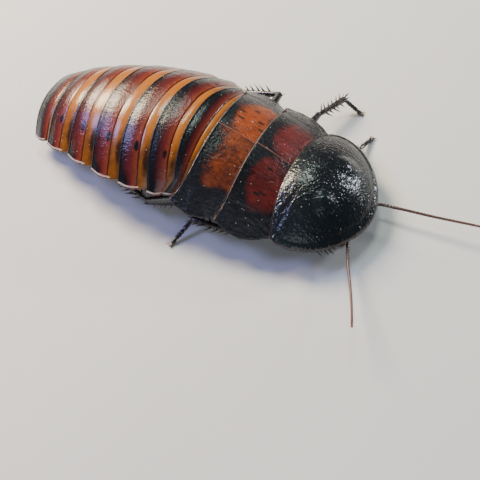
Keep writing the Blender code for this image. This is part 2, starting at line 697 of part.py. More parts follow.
def head_rings(grow=0.0):
    """Level rings of the head from the crown down to the lips, each a superellipse."""
    turn = np.linspace(0, 2 * math.pi, 18, endpoint=False)
    rings = []
    for height, x, depth, width in HEAD_RINGS:
        c, s = np.cos(turn), np.sin(turn)
        px = x * MM + (depth * MM + grow) * np.sign(c) * np.abs(c) ** HEAD_ROUNDNESS
        py = (width * MM + grow) * np.sign(s) * np.abs(s) ** HEAD_ROUNDNESS
        rings.append(np.stack([px, py, np.full_like(px, height * MM)], -1))
    return rings


def bed_on_head(obj):
    """Cuts a piece so that it lies on the head with a thin gap."""
    cutter = mesh_object("head_bed", *lofted(head_rings(GAP)), "eye")
    combine(obj, [cutter], "DIFFERENCE")


def head():
    """The head, its two eyes cut to lie on it, and the feelers of the mouth."""
    mesh_object("head", *lofted(head_rings()), "brown_cuticle")
    for side, word in ((1, "left"), (-1, "right")):
        centre = (EYE_CENTRE[0], side * EYE_CENTRE[1], EYE_CENTRE[2])
        bed_on_head(ellipsoid(f"eye_{word}", centre, EYE_HALVES, EYE_UPRIGHT, "eye"))
    for kind, (points, radius) in PALPS.items():
        for side, word in ((1, "left"), (-1, "right")):
            line = [np.array([x, side * y, z]) * MM for x, y, z in points]
            line = smooth_line(line, 11)
            swell = 0.85 + 0.25 * np.abs(np.sin(np.linspace(0.3, 3 * math.pi - 0.4, len(line))))
            rings = rings_on_line(line, radius * MM * swell, 8)
            bed_on_head(mesh_object(f"{kind}_palp_{word}", *lofted(rings), "brown_cuticle"))


def smooth_line(points, count, first=0.0, last=1.0):
    """Count points, evenly spaced from one share of its length to another, on the Catmull-Rom
    curve through the given ones."""
    points = np.asarray(points)
    ends = np.concatenate([[2 * points[0] - points[1]], points, [2 * points[-1] - points[-2]]])
    dense = []
    for i in range(len(points) - 1):
        a, b, c, d = ends[i : i + 4]
        for share in np.linspace(0, 1, 24, endpoint=False):
            dense.append(0.5 * (2 * b + (c - a) * share + (2 * a - 5 * b + 4 * c - d) * share**2
                                + (3 * b - a - 3 * c + d) * share**3))
    dense.append(points[-1])
    dense = np.array(dense)
    along = np.concatenate([[0], np.cumsum(np.linalg.norm(np.diff(dense, axis=0), axis=1))])
    wanted = np.linspace(first, last, count) * along[-1]
    return np.stack([np.interp(wanted, along, dense[:, k]) for k in range(3)], -1)


def rings_on_line(line, radii, sides):
    """Round rings square to a line at each of its points."""
    turn = np.linspace(0, 2 * math.pi, sides, endpoint=False)
    ways = np.gradient(line, axis=0)
    rings = []
    for point, way, radius in zip(line, ways, radii):
        _, across, up = frame_of(way)
        rings.append(point + radius * (np.outer(np.cos(turn), across) + np.outer(np.sin(turn), up)))
    return rings


def feelers():
    """Each feeler: a stout root, then a long thin length parted once on its way."""
    for side, word in ((1, "left"), (-1, "right")):
        root = np.array(FEELER_ROOT) * MM * [1, side, 1]
        points = [root, *(np.array(p) * MM for p in FEELER_POINTS[word])]
        length = float(np.linalg.norm(np.diff(smooth_line(points, 200), axis=0), axis=1).sum())
        cuts = (0.0, SCAPE_LENGTH, length * FEELER_PARTING, length)
        names = (f"feeler_root_{word}", f"feeler_near_{word}", f"feeler_far_{word}")
        for i, (name, count) in enumerate(zip(names, (5, 26, 30))):
            start = cuts[i] + (GAP if i else 0.0)
            line = smooth_line(points, count, start / length, cuts[i + 1] / length)
            share = np.linspace(start, cuts[i + 1], count) / length
            radii = FEELER_RADIUS + (FEELER_TIP_RADIUS - FEELER_RADIUS) * share
            if i == 0:
                radii = SCAPE_RADIUS * np.array(SCAPE_SHAPE)
            made = mesh_object(name, *lofted(rings_on_line(line, radii, 6 if i else 8)), "brown_cuticle")
            if i == 0:
                bed_on_head(made)


def centre_on_floor():
    """Moves everything so that the origin is under the middle of the whole."""
    meshes = [obj for obj in bpy.context.scene.objects if obj.type == "MESH"]
    corners = np.array([v.co for obj in meshes for v in obj.data.vertices])
    middle = (corners.min(0) + corners.max(0)) / 2
    for obj in meshes:
        for vertex in obj.data.vertices:
            vertex.co.x -= middle[0]
            vertex.co.y -= middle[1]


def main():
    clear_scene()
    shield()
    prothorax()
    for index in range(1, len(BACK_PLATES)):
        colour = "black_cuticle" if index < 3 else "maroon_cuticle"
        back_plate(index, colour)
    front, middle = chest_sizes(0, CHEST_HALF_WIDTH), chest_sizes(1, CHEST_HALF_WIDTH)
    belly_plate("mesothorax", 0, 1, (front, middle), CHEST_POWER, "brown_cuticle")
    rear = chest_sizes(3, CHEST_REAR_HALF_WIDTH)
    belly_plate("metathorax", 1, 3, (middle, rear), CHEST_POWER, "brown_cuticle")
    for index in range(4, len(BACK_PLATES)):
        number = BACK_PLATES[index][0].split("_")[1]
        belly_plate(f"sternite_{number}", index - 1, index, (belly_sizes(index - 1), belly_sizes(index)),
                    BELLY_POWER, "belly_cuticle")
    tail()
    head()
    feelers()
    for name, points in LEG_POINTS.items():
        leg(name, points, LEG_SIZES[name.split("_")[0]])
    centre_on_floor()


main()
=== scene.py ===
"""The looks of a life-size Madagascar hissing cockroach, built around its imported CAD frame.

Shapes are worked out in millimetres in the animal's own frame: x forward from the hind edge of
the shield, y to its left and z up from the floor. Skin.build turns them into metres and moves
them to where the CAD part stands.
"""

import math
from typing import NamedTuple

import bpy
import numpy as np
from bpy.props import FloatProperty, FloatVectorProperty, PointerProperty
from mathutils import Matrix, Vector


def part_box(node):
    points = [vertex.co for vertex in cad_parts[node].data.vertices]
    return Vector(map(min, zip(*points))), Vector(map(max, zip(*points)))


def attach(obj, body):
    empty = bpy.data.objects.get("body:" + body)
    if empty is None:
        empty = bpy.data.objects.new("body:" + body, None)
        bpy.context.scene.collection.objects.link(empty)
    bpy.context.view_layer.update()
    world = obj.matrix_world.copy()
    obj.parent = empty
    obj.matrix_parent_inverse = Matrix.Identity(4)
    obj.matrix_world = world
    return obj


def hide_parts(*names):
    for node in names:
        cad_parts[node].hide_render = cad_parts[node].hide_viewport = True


bl_info = {
    "name": "Hissing Cockroach Model",
    "version": (1, 0, 0),
    "blender": (4, 5, 0),
    "location": "View3D > Sidebar > Cockroach",
    "description": "Builds the plates, legs, feelers and finish of a life-size hissing cockroach",
    "category": "Add Mesh",
}

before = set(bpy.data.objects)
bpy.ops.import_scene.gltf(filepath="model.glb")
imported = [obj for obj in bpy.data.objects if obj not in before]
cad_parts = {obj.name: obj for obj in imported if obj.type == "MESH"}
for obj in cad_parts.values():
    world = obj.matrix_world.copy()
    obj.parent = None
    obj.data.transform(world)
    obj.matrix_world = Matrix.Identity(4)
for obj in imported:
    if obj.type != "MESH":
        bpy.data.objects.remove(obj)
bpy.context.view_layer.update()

MM = 0.001


class Plate(NamedTuple):
    """One plate of the back, by its hind edge: its x on the midline, half width, arch above the
    side edge, height of the side edge, how far it bows back at the sides, how far its corners
    reach back past that, and how far its side bulges out between its corners."""

    hind: float
    half: float
    arch: float
    side: float
    bow: float
    corner: float
    bulge: float


PLATES = {
    "pronotum": Plate(0.0, 12.8, 4.5, 5.4, -2.2, 0.0, 0.0),
    "mesonotum": Plate(-6.7, 13.8, 5.3, 6.9, 0.1, 0.9, 1.6),
    "metanotum": Plate(-14.0, 13.9, 6.0, 7.8, 0.7, 1.4, 1.3),
    "tergite_1": Plate(-18.0, 13.8, 6.7, 8.2, -2.8, 0.0, 0.0),
    "tergite_2": Plate(-23.2, 14.6, 7.0, 8.1, -3.4, 0.4, 0.5),
    "tergite_3": Plate(-28.6, 14.8, 6.9, 7.7, -3.0, 0.4, 0.5),
    "tergite_4": Plate(-34.4, 13.9, 6.6, 7.2, -2.5, 0.4, 0.6),
    "tergite_5": Plate(-40.2, 12.4, 5.9, 6.3, -1.9, 0.4, 0.6),
    "tergite_6": Plate(-46.0, 10.8, 4.9, 4.9, -1.5, 0.4, 0.6),
    "tergite_7": Plate(-50.8, 9.1, 3.8, 3.3, -1.3, 0.0, 0.5),
}
PLATE_NAMES = list(PLATES)
ARCH_POWER = 2.3
BOW_POWER = 2.5
CORNER_POWER = 8
SHORTEST_PLATE = 1.3
EDGE_THICKNESS = 0.5
PLATE_CROWN = 0.15
BULGE_POWER = 5
BULGE_DROP = 0.45
LIP_THICKNESS = 0.15
LIP_DEPTH = 0.85
LIP_REACH = 1.1
STEP_ON_TOP = 0.5
STEP_AT_SIDE = 0.35
GAP = 0.3

SHIELD_FRONT = 15.2
SHIELD_POLE = (4.0, 10.55)
SHIELD_OUTLINE_POWER = 1.31
SHIELD_BULGE = 0.116
SHIELD_FRONT_DROP = 1.65
SHIELD_DOME_POWER = 1.95
SHIELD_RIM = 0.5
SHIELD_THICKNESS = 1.25
SHIELD_RIM_WIDTH = 2.0
TUBERCLE_AT = (8.2, 4.6)
TUBERCLE_RADIUS = 2.6
TUBERCLE_HEIGHT = 0.55

# How many points a plate has across it and its flat floor, and how many rays the shield has.
PLATE_COLUMNS = 161
FLOOR_COLUMNS = 13
SHIELD_RAYS = 240
# The rounded lip below a hind edge: how deep each row lies, and how far ahead of the edge.
LIP_ROWS = ((0.06, -0.05), (0.15, 0.0), (0.3, 0.3), (LIP_DEPTH, LIP_REACH))

# Fine relief of the abdomen: the groove behind the amber band, the swellings before and behind
# it, the beads along the hind edge and the sides, and soft waves.
GROOVE_DEPTH, GROOVE_WIDTH = 0.07, 0.13
BAND_SWELL, HIND_SWELL = 0.05, 0.10
HIND_BEAD, HIND_BEAD_AT, HIND_BEAD_WIDTH = 0.05, 0.12, 0.12
SIDE_BEAD, SIDE_BEAD_WIDTH = 0.09, 0.012
ABDOMEN_WAVES, ABDOMEN_WAVES_ACROSS, ABDOMEN_WAVES_ALONG = 0.03, 14, 1.4

# Fine relief of the thorax: the line along its middle, the fold before each side lobe and the
# creases on it, the bead at the hind edge, the raised rim at the sides, and soft waves.
MIDDLE_LINE_DEPTH, MIDDLE_LINE_WIDTH = 0.05, 0.14
LOBE_FOLD_DEPTH, LOBE_FOLD_AT, LOBE_FOLD_WIDTH = 0.16, 0.80, 0.045
LOBE_CREASES, LOBE_CREASES_ALONG, LOBE_CREASES_ACROSS = 0.05, 2.6, 1.5
THORAX_BEAD, THORAX_BEAD_AT, THORAX_BEAD_WIDTH = 0.06, 0.2, 0.18
THORAX_RIM, THORAX_RIM_WIDTH = 0.12, 0.02
THORAX_WAVES = 0.07

# The red patches of the thorax, in shares of the half width and of the length: the middle and
# the half sizes of each oval. The near patches, on the right, are less red: painted shade for
# how the light falls on that side.
ORANGE_FAR_AT, ORANGE_FAR_HALVES = (0.30, 0.20), (0.46, 0.66)
CLARET_FAR_AT, CLARET_FAR_HALVES = (0.36, 0.26), (0.40, 0.56)
CLARET_NEAR_AT, CLARET_NEAR_HALVES = (0.42, 0.30), (0.40, 0.52)
NEAR_PAINTED_SHADE_REDNESS = 0.7

# Fine relief of the shield: the hollow between its knobs, the dent beside the left one, the rim
# bead, the folds that follow the hind edge, and soft waves.
HOLLOW_AT, HOLLOW_HALVES, HOLLOW_DEPTH = (6.2, 0.0), (1.6, 1.3), 0.22
DENT_AT, DENT_HALVES, DENT_DEPTH = (9.6, 2.2), (1.2, 1.1), 0.12
RIM_BEAD, RIM_BEAD_AT, RIM_BEAD_WIDTH = 0.10, 0.3, 0.28
RIM_GROOVE_AT, RIM_GROOVE_WIDTH = 1.0, 0.35
FOLD_HEIGHT, FOLD_PITCH, FOLDS_AT, FOLDS_WIDTH = 0.018, 1.3, 1.8, 1.6
SHIELD_WAVES, SHIELD_WAVE_PACE = 0.06, 0.9
EDGE_ROUNDING = 0.06


class Marks(NamedTuple):
    """The markings of an abdominal plate: the share of its length that is the amber band, how
    far the black of its hind edge comes forward, and the strength of its dark spots."""

    band: float
    black: float
    spots: float


ABDOMEN_MARKS = {
    "tergite_1": Marks(0.28, 0.55, 0.0),
    "tergite_2": Marks(0.29, 0.34, 0.75),
    "tergite_3": Marks(0.34, 0.12, 1.0),
    "tergite_4": Marks(0.38, 0.04, 1.0),
    "tergite_5": Marks(0.41, 0.0, 1.0),
    "tergite_6": Marks(0.42, 0.1, 0.9),
    "tergite_7": Marks(0.16, 0.60, 0.0),
}
# The dark oval behind the groove and the cloudy streak on the amber: the place across as a share
# of the half width, the place behind the groove or the front edge, and the half sizes.
OVAL_AT, OVAL_HALVES = (0.66, 0.75), (0.85, 0.5)
STREAK_AT, STREAK_HALVES = (0.77, 0.55), (2.3, 0.7)

BELLY_DEPTHS = {
    "tergite_1": 5.2,
    "tergite_2": 5.3,
    "tergite_3": 5.2,
    "tergite_4": 5.0,
    "tergite_5": 4.5,
    "tergite_6": 3.3,
    "tergite_7": 1.9,
}
BELLY_WIDTH_SHARE = 0.92
BELLY_POWER = 3.0
UNDER_PLATES = 0.55
CHEST_FLOOR = 3.7

TAIL_PLATE_HALF_WIDTH = 5.4
CERCUS_ROOT = (-49.9, 5.3, 1.85)
CERCUS_WAY = (-0.94, 0.33, -0.1)
CERCUS_LENGTH = 2.3
CERCUS_RADIUS = 0.6
CERCUS_RINGS = 8
CERCUS_OUTLINE = ((0, 0.85), (0.2, 1.0), (0.45, 0.93), (0.75, 0.62), (1, 0.08))
# The tail plate from under the last tergite to its end: x ahead of the hind edge, share of the
# half width, share of the arch, and how far it drops.
TAIL_STATIONS = (
    (LIP_REACH - GAP, 1.0, 0.62, 0.0),
    (0.0, 1.0, 0.6, 0.0),
    (-0.9, 0.88, 0.48, 0.1),
    (-1.7, 0.55, 0.3, 0.2),
)
TAIL_TONES = (0.93, 0.98)
BELLY_LIP_INSET = 0.25
BELLY_SWELL = 0.08
BELLY_BEAD = 0.06

# The chest from the neck to the waist: x, half width, height of the top and of the bottom.
CHEST_STATIONS = (
    (8.2, 1.2, 5.8, 4.4),
    (7.9, 1.7, 6.0, 4.2),
    (6.8, 3.6, 7.0, 3.85),
    (5.4, 6.1, 7.6, 3.7),
    (3.0, 7.3, 7.6, 3.7),
    (0.5, 7.5, 6.2, 3.7),
    (-3.0, 7.5, 5.4, 3.7),
    (-6.5, 7.7, 5.9, 3.7),
    (-11.0, 9.0, 6.6, 3.7),
    (-15.5, 10.3, 7.1, 3.7),
    (-18.6, 10.6, 7.2, 3.8),
)
CHEST_CREASES_AT = (1.0, -6.5, -12.5)
CHEST_CREASE_DEPTH, CHEST_CREASE_WIDTH = 0.12, 0.4
CHEST_SIDE_POWER, CHEST_TOP_POWER = 0.6, 0.7
CHEST_WAVES = 0.05

# The head from the crown down to the lips: height, x of the centre, half depth, half width.
HEAD_RINGS = (
    (6.4, 9.75, 0.55, 0.9),
    (6.1, 9.85, 1.15, 1.8),
    (5.5, 10.0, 1.6, 2.45),
    (4.6, 10.2, 1.85, 2.75),
    (3.6, 10.35, 1.85, 2.7),
    (2.8, 10.4, 1.6, 2.35),
    (2.25, 10.5, 1.3, 1.85),
    (2.05, 10.55, 1.1, 1.6),
    (1.85, 10.7, 1.2, 1.65),
    (1.35, 10.75, 1.0, 1.35),
    (0.95, 10.7, 0.6, 0.8),
)
EYE_CENTRE = (10.55, 2.75, 4.75)
EYE_HALVES = (1.05, 0.75, 1.45)
MAXILLARY_PALP = ((11.6, 1.95, 2.35), (12.7, 2.7, 2.3), (13.0, 3.1, 1.5), (12.3, 3.3, 0.75))
LABIAL_PALP = ((9.9, 1.75, 1.75), (9.7, 2.5, 1.4), (9.95, 2.8, 0.95), (10.5, 2.9, 0.7))
# Each kind of palp: its points, its radius, and the shares of its length where it is jointed.
PALPS = (
    ("maxillary", MAXILLARY_PALP, 0.26, (0.0, 0.14, 0.30, 0.58, 0.80, 1.0)),
    ("labial", LABIAL_PALP, 0.25, (0.0, 0.3, 0.62, 1.0)),
)
# The relief of the face: the rim and the pit of a feeler's socket, the furrow of the forehead,
# the line above the lip, the lip's notch, and soft waves.
SOCKET_RIM, SOCKET_PIT, SOCKET_RADIUS = 0.10, 0.12, 0.62
FURROW_DEPTH, FURROW_WIDTH = 0.06, 0.12
LIP_LINE_DEPTH, LIP_LINE_AT = 0.09, 2.95
NOTCH_DEPTH, NOTCH_WIDTH = 0.10, 0.14
FACE_WAVES = 0.05
HEAD_POWER = 0.85
JAW_OUTLINE = ((0, 0.5), (0.4, 0.55), (0.8, 0.38), (1, 0.12))
PALP_LENGTH_OUTLINE = ((0, 0.7), (0.5, 0.9), (1, 1.1))
PALP_TIP_OUTLINE = ((0, 0.7), (0.5, 1.0), (0.85, 0.95), (1, 0.4))
JAW_POINTS = ((10.2, 1.75, 3.0), (11.0, 1.7, 2.3), (11.5, 1.1, 1.6), (11.6, 0.35, 1.25))
# The pale spot beside each feeler: its y and z, and its half sizes.
FACE_SPOT_AT, FACE_SPOT_HALVES = (1.25, 5.25), (0.28, 0.2)

FEELER_ROOT = (11.6, 1.3, 4.3)
FEELER_POINTS = {
    "left": (
        (12.6, 2.0, 3.6),
        (15.0, 3.8, 2.6),
        (18.5, 4.2, 2.9),
        (23.5, 4.8, 3.1),
        (29.0, 5.5, 3.5),
        (34.5, 6.4, 3.7),
        (39.0, 7.6, 3.6),
    ),
    "right": (
        (12.5, -2.1, 3.6),
        (12.8, -5.0, 2.8),
        (14.3, -8.9, 2.9),
        (16.2, -12.7, 3.3),
        (18.0, -16.4, 4.1),
        (19.4, -19.7, 5.2),
        (20.3, -22.1, 6.3),
    ),
}
FEELER_RADIUS = 0.31
FEELER_TIP_RADIUS = 0.19
SCAPE_RADIUS = 0.5
SCAPE_LENGTH = 1.7
FEELER_PARTING = 0.45
FEELER_RING_PITCH = 0.55
SCAPE_OUTLINE = ((0, 0.75), (0.2, 0.62), (0.45, 1.0), (0.8, 0.95), (1.0, 0.72))
FEELER_OVERLAP = 0.12
FEELER_HAIR_LENGTH, FEELER_HAIR_RADIUS, FEELER_HAIRS_PER_RING = 0.22, 0.018, 4


class Leg(NamedTuple):
    """Where the lengths of a leg meet, from the root of the coxa down to the foot."""

    root: tuple
    hip: tuple
    knee: tuple
    ankle: tuple
    foot: tuple


LEGS = {
    "fore_left": Leg(
        root=(4.6, 2.7, 2.9),
        hip=(6.4, 6.6, 2.7),
        knee=(8.2, 11.0, 2.8),
        ankle=(6.6, 14.6, 1.6),
        foot=(7.4, 19.2, 0.3),
    ),
    "fore_right": Leg(
        root=(4.6, -2.7, 2.9),
        hip=(5.6, -6.4, 2.7),
        knee=(8.3, -10.1, 2.9),
        ankle=(10.4, -7.0, 1.5),
        foot=(11.9, -5.2, 0.3),
    ),
    "mid_left": Leg(
        root=(-1.9, 3.2, 2.9),
        hip=(-4.6, 9.0, 2.8),
        knee=(-2.9, 17.6, 3.8),
        ankle=(-0.5, 24.4, 2.8),
        foot=(2.9, 24.6, 0.3),
    ),
    "mid_right": Leg(
        root=(-1.9, -3.2, 2.9),
        hip=(-4.2, -7.4, 2.8),
        knee=(-3.4, -12.6, 3.4),
        ankle=(-12.9, -13.0, 2.3),
        foot=(-14.5, -17.7, 0.3),
    ),
    "hind_left": Leg(
        root=(-9.6, 3.2, 2.9),
        hip=(-12.6, 8.6, 2.8),
        knee=(-11.4, 18.4, 4.8),
        ankle=(-21.8, 17.0, 2.4),
        foot=(-29.6, 16.6, 0.3),
    ),
    "hind_right": Leg(
        root=(-9.6, -3.2, 2.9),
        hip=(-13.4, -8.4, 2.8),
        knee=(-21.8, -13.6, 3.3),
        ankle=(-31.2, -9.6, 1.7),
        foot=(-38.4, -8.6, 0.3),
    ),
}


class LegSize(NamedTuple):
    """Half heights and half widths of the lengths of a leg, and the spines on its tibia."""

    coxa_high: float
    coxa_wide: float
    femur_high: float
    femur_wide: float
    tibia: float
    tarsus: float
    spines: int


LEG_SIZES = {
    "fore": LegSize(1.05, 1.5, 0.95, 0.75, 0.5, 0.38, 13),
    "mid": LegSize(1.1, 1.7, 1.15, 0.85, 0.58, 0.4, 17),
    "hind": LegSize(1.1, 1.9, 1.3, 0.95, 0.68, 0.42, 23),
}

# The outlines of the lengths of a leg: (share of the length, share of the half size).
COXA_WIDE = ((0, 0.55), (0.12, 0.9), (0.4, 1.0), (0.75, 0.8), (1, 0.5))
COXA_HIGH = ((0, 0.55), (0.12, 0.9), (0.4, 1.0), (0.75, 0.85), (1, 0.62))
FEMUR_OUTLINE = (
    (0, 0.6), (0.1, 0.72), (0.28, 0.97), (0.55, 1.0), (0.8, 0.8), (0.93, 0.66), (1, 0.6),
)
TIBIA_OUTLINE = ((0, 0.72), (0.08, 0.82), (0.4, 0.92), (0.8, 1.05), (0.95, 1.12), (1, 0.95))
TARSUS_OUTLINE = ((0, 0.66), (0.3, 0.8), (0.7, 1.0), (1, 1.08))
TARSUS_JOINTS = (0.0, 0.42, 0.56, 0.68, 0.78, 1.0)
# The spines of a leg: how many, how thick at the root, and how far round the limb they stand.
FEMUR_SPINES, FEMUR_SPINE_RADIUS, FEMUR_ROW_TURN = 6, 0.11, 0.45
KNEE_SPINE_LENGTH, KNEE_SPINE_RADIUS, KNEE_SPINE_TURNS = 1.0, 0.13, (0.3, 2.8)
TIBIA_SPINE_RADIUS, TIBIA_ROW_TURNS = 0.2, (0.15, 2.2, 4.1)
TIBIA_SPURS, TIBIA_SPUR_RADIUS = 6, 0.15
CLAW_LENGTH, CLAW_RADIUS, CLAW_HOOK = 1.0, 0.14, (0, 0, -0.42)
SOLE_PAD_HALVES = (0.26, 0.22, 0.14)
CLAW_PAD_HALVES = (0.5, 0.4, 0.26)
FEMUR_HAIRS, TIBIA_HAIRS, TARSUS_HAIRS, CERCUS_HAIRS = 40, 60, 50, 60
LEG_HAIR_LENGTH, TARSUS_HAIR_LENGTH, CERCUS_HAIR_LENGTH = 0.45, 0.35, 0.5
HAIR_RADIUS = 0.022
SPINE_CLEARANCE = 0.02

# Where the bristles stand: the number of the plate in PLATES, and how many there are. A row
# spans the sines of turns up to BRISTLE_SPREAD to each side.
BRISTLE_ROWS = ((0, 150), (1, 190), (2, 190))
BRISTLE_SPREAD = 1.45
BRISTLE_RADIUS = 0.045
BRISTLE_SIDES = 3
BRISTLE_RINGS = 3
# The map OFBake, one long and one wide: patches in a row, from patch to patch, and their radius.
MAP_COLUMNS = 40
MAP_PITCH = 1 / 42
MAP_PATCH_RADIUS = 0.0015

# The camera of the photograph, in the animal's frame: place, and its right, up and back.
CAMERA_PLACE = (32.957, -71.968, 103.188)
CAMERA_RIGHT = (0.883831, 0.465339, -0.047989)
CAMERA_UP = (-0.360738, 0.743262, 0.563409)
CAMERA_BACK = (0.297845, -0.480646, 0.824783)
CAMERA_LENS = 54.14
CAMERA_SENSOR = 36.0
CAMERA_NEAREST = 0.005
CAMERA_FARTHEST = 20

FLOOR_HALF = 1.5
WORLD_COLOUR = (0.82, 0.88, 1.0)
WORLD_STRENGTH = 0.14


class Lamp(NamedTuple):
    """A round lamp: the way to it from the middle of the CAD frame, how far away it is and how
    wide, in metres, and its colour. Its power is in CockroachSizes."""

    way: tuple
    away: float
    size: float
    colour: tuple


LAMPS = {
    "key": Lamp((-0.94, 0.32, 0.85), 0.42, 0.17, (1.0, 0.84, 0.60)),
    "sky": Lamp((-0.75, -0.25, 0.75), 0.50, 0.16, (0.38, 0.42, 1.0)),
    "green": Lamp((-0.24, 0.42, 0.88), 0.45, 0.13, (0.80, 1.0, 0.90)),
    "front": Lamp((0.62, 0.85, 0.42), 0.42, 0.06, (0.86, 0.92, 1.0)),
    "fill": Lamp((0.35, -0.9, 0.5), 0.60, 0.50, (0.85, 0.91, 1.0)),
}

# Shades that the panel doesn't list.
STREAK_BROWN = (0.035, 0.012, 0.008)
OVAL_BLACK = (0.004, 0.003, 0.004)
ABDOMEN_SPECK = (0.7, 0.62, 0.55)
DASH_BROWN = (0.012, 0.004, 0.004)
MIDDLE_LINE_RED = (0.30, 0.10, 0.07)
THORAX_EDGE_PAINTED_HIGHLIGHT = (0.42, 0.30, 0.20)
THORAX_SPECK = (0.62, 0.58, 0.56)
SHIELD_GREEN = (0.005, 0.009, 0.011)
SHIELD_RIM_PAINTED_HIGHLIGHT = (0.075, 0.055, 0.048)
SHIELD_SPECK = (0.6, 0.62, 0.66)
JOINT_BROWN = (0.055, 0.018, 0.010)
SPINE_TIP_RED = (0.075, 0.022, 0.010)
PAD_TAN = (0.30, 0.20, 0.12)
FAR_FEELER_RED = (0.12, 0.030, 0.017)
FEELER_HAIR_TAN = (0.22, 0.12, 0.08)
HEAD_BROWN = (0.020, 0.010, 0.008)
MOUTH_BROWN = (0.10, 0.030, 0.012)
FACE_SPOT_TAN = (0.45, 0.30, 0.14)
FACET_BROWN = (0.020, 0.014, 0.012)
FACET_EDGE_BLACK = (0.004, 0.003, 0.003)
BELLY_EDGE_BROWN = (0.020, 0.008, 0.006)
BELLY_SPECK = (0.5, 0.4, 0.35)
BRISTLE_BROWN = (0.012, 0.008, 0.008)

# How deep the bumps of the smaller finishes are.
LEG_BUMP = 0.03
FEELER_BUMP = 0.015
HEAD_BUMP = 0.03
EYE_BUMP = 0.02
BELLY_BUMP = 0.04
BRISTLE_BUMP = 0.005
FLOOR_BUMP = 0.02
# An eye's facets to the millimetre.
EYE_FACETS = 11.0

# The noise of Finish.clouds reaches this far each way.
CLOUD_REACH = 0.3
RIPPLE_WAVES = 6
THORN_TIP = 0.03
SHARP_EDGE = math.radians(50)


def part_shift():
    """Where the animal's own frame starts in the CAD frame, in millimetres."""
    low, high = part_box("pronotum")
    return np.array([high.x / MM - SHIELD_FRONT, (low.y + high.y) / 2 / MM, 0.0])


SHIFT = part_shift()


def smooth(value, low=0.0, high=1.0):
    """A ramp from 0 at low to 1 at high that starts and ends level."""
    held = np.clip((np.asarray(value, float) - low) / (high - low), 0, 1)
    return held * held * (3 - 2 * held)


def hump(value, middle, width):
    """A bell: 1 at middle, falling to 0.37 at width from it."""
    return np.exp(-(((np.asarray(value, float) - middle) / width) ** 2))


def from_middle(u, v, middle, halves):
    """How far a place lies from the middle of an oval, 1 at its edge."""
    return np.hypot((u - middle[0]) / halves[0], (v - middle[1]) / halves[1])


def ripple(x, y, seed):
    """Soft uneven waves from -1 to 1: the mean of RIPPLE_WAVES sine waves in seeded ways."""
    draw = np.random.default_rng(seed)
    total = 0.0
    for _ in range(RIPPLE_WAVES):
        way, phase = draw.uniform(0, 2 * math.pi, 2)
        pace = draw.uniform(0.6, 1.4)
        total = total + np.sin(pace * (x * math.cos(way) + y * math.sin(way)) + phase)
    return total / RIPPLE_WAVES


def unit(ways):
    """The same directions, one long."""
    ways = np.asarray(ways, float)
    return ways / np.linalg.norm(ways, axis=-1, keepdims=True)


def dimmed(colour, share):
    """The colour times share."""
    return tuple(channel * share for channel in colour)


def blended(a, b, share_a, share_b):
    """A share of one colour plus a share of another."""
    return tuple(share_a * x + share_b * y for x, y in zip(a, b))


def smooth_line(points, count, first=0.0, last=1.0):
    """Count points, evenly spaced from one share of its length to another, on the Catmull-Rom
    curve through the given ones."""
    points = np.asarray(points, float)
    ends = np.concatenate([[2 * points[0] - points[1]], points, [2 * points[-1] - points[-2]]])
    a, b, c, d = (ends[k : len(ends) - 3 + k, None] for k in range(4))
    share = np.linspace(0, 1, 24, endpoint=False)[:, None]
    dense = 2 * b + (c - a) * share + (2 * a - 5 * b + 4 * c - d) * share**2
    dense = 0.5 * (dense + (3 * b - a - 3 * c + d) * share**3)
    dense = np.concatenate([dense.reshape(-1, points.shape[1]), points[-1:]])
    along = np.concatenate([[0], np.cumsum(np.linalg.norm(np.diff(dense, axis=0), axis=1))])
    wanted = np.linspace(first, last, count) * along[-1]
    return np.stack([np.interp(wanted, along, column) for column in dense.T], -1)


def line_length(points):
    """The length of the smooth line through these points."""
    return float(np.linalg.norm(np.diff(smooth_line(points, 400), axis=0), axis=1).sum())


def profile(share, stops):
    """A smooth curve through (share, size) stops, read at each share."""
    dense = smooth_line(stops, 200)
    return np.interp(share, dense[:, 0], dense[:, 1])


def scaled(stops, size):
    """The same (share, size) stops with their sizes times size."""
    return [(share, part * size) for share, part in stops]


def frames(ways):
    """Directions across and up, both square to each way; up is as upright as it can be."""
    ways = unit(ways)
    across = np.cross([0.0, 0.0, 1.0], ways)
    level = np.linalg.norm(across, axis=-1, keepdims=True) < 1e-6
    across = unit(np.where(level, [0.0, 1.0, 0.0], across))
    return across, np.cross(ways, across)


def with_ends(block):
    """A block of (skins, rings, points, ...) as one row for each skin, followed by the means of
    its first and its last ring."""
    flat = block.reshape(len(block), -1, *block.shape[3:])
    return np.concatenate([flat, block[:, :1].mean(2), block[:, -1:].mean(2)], 1)


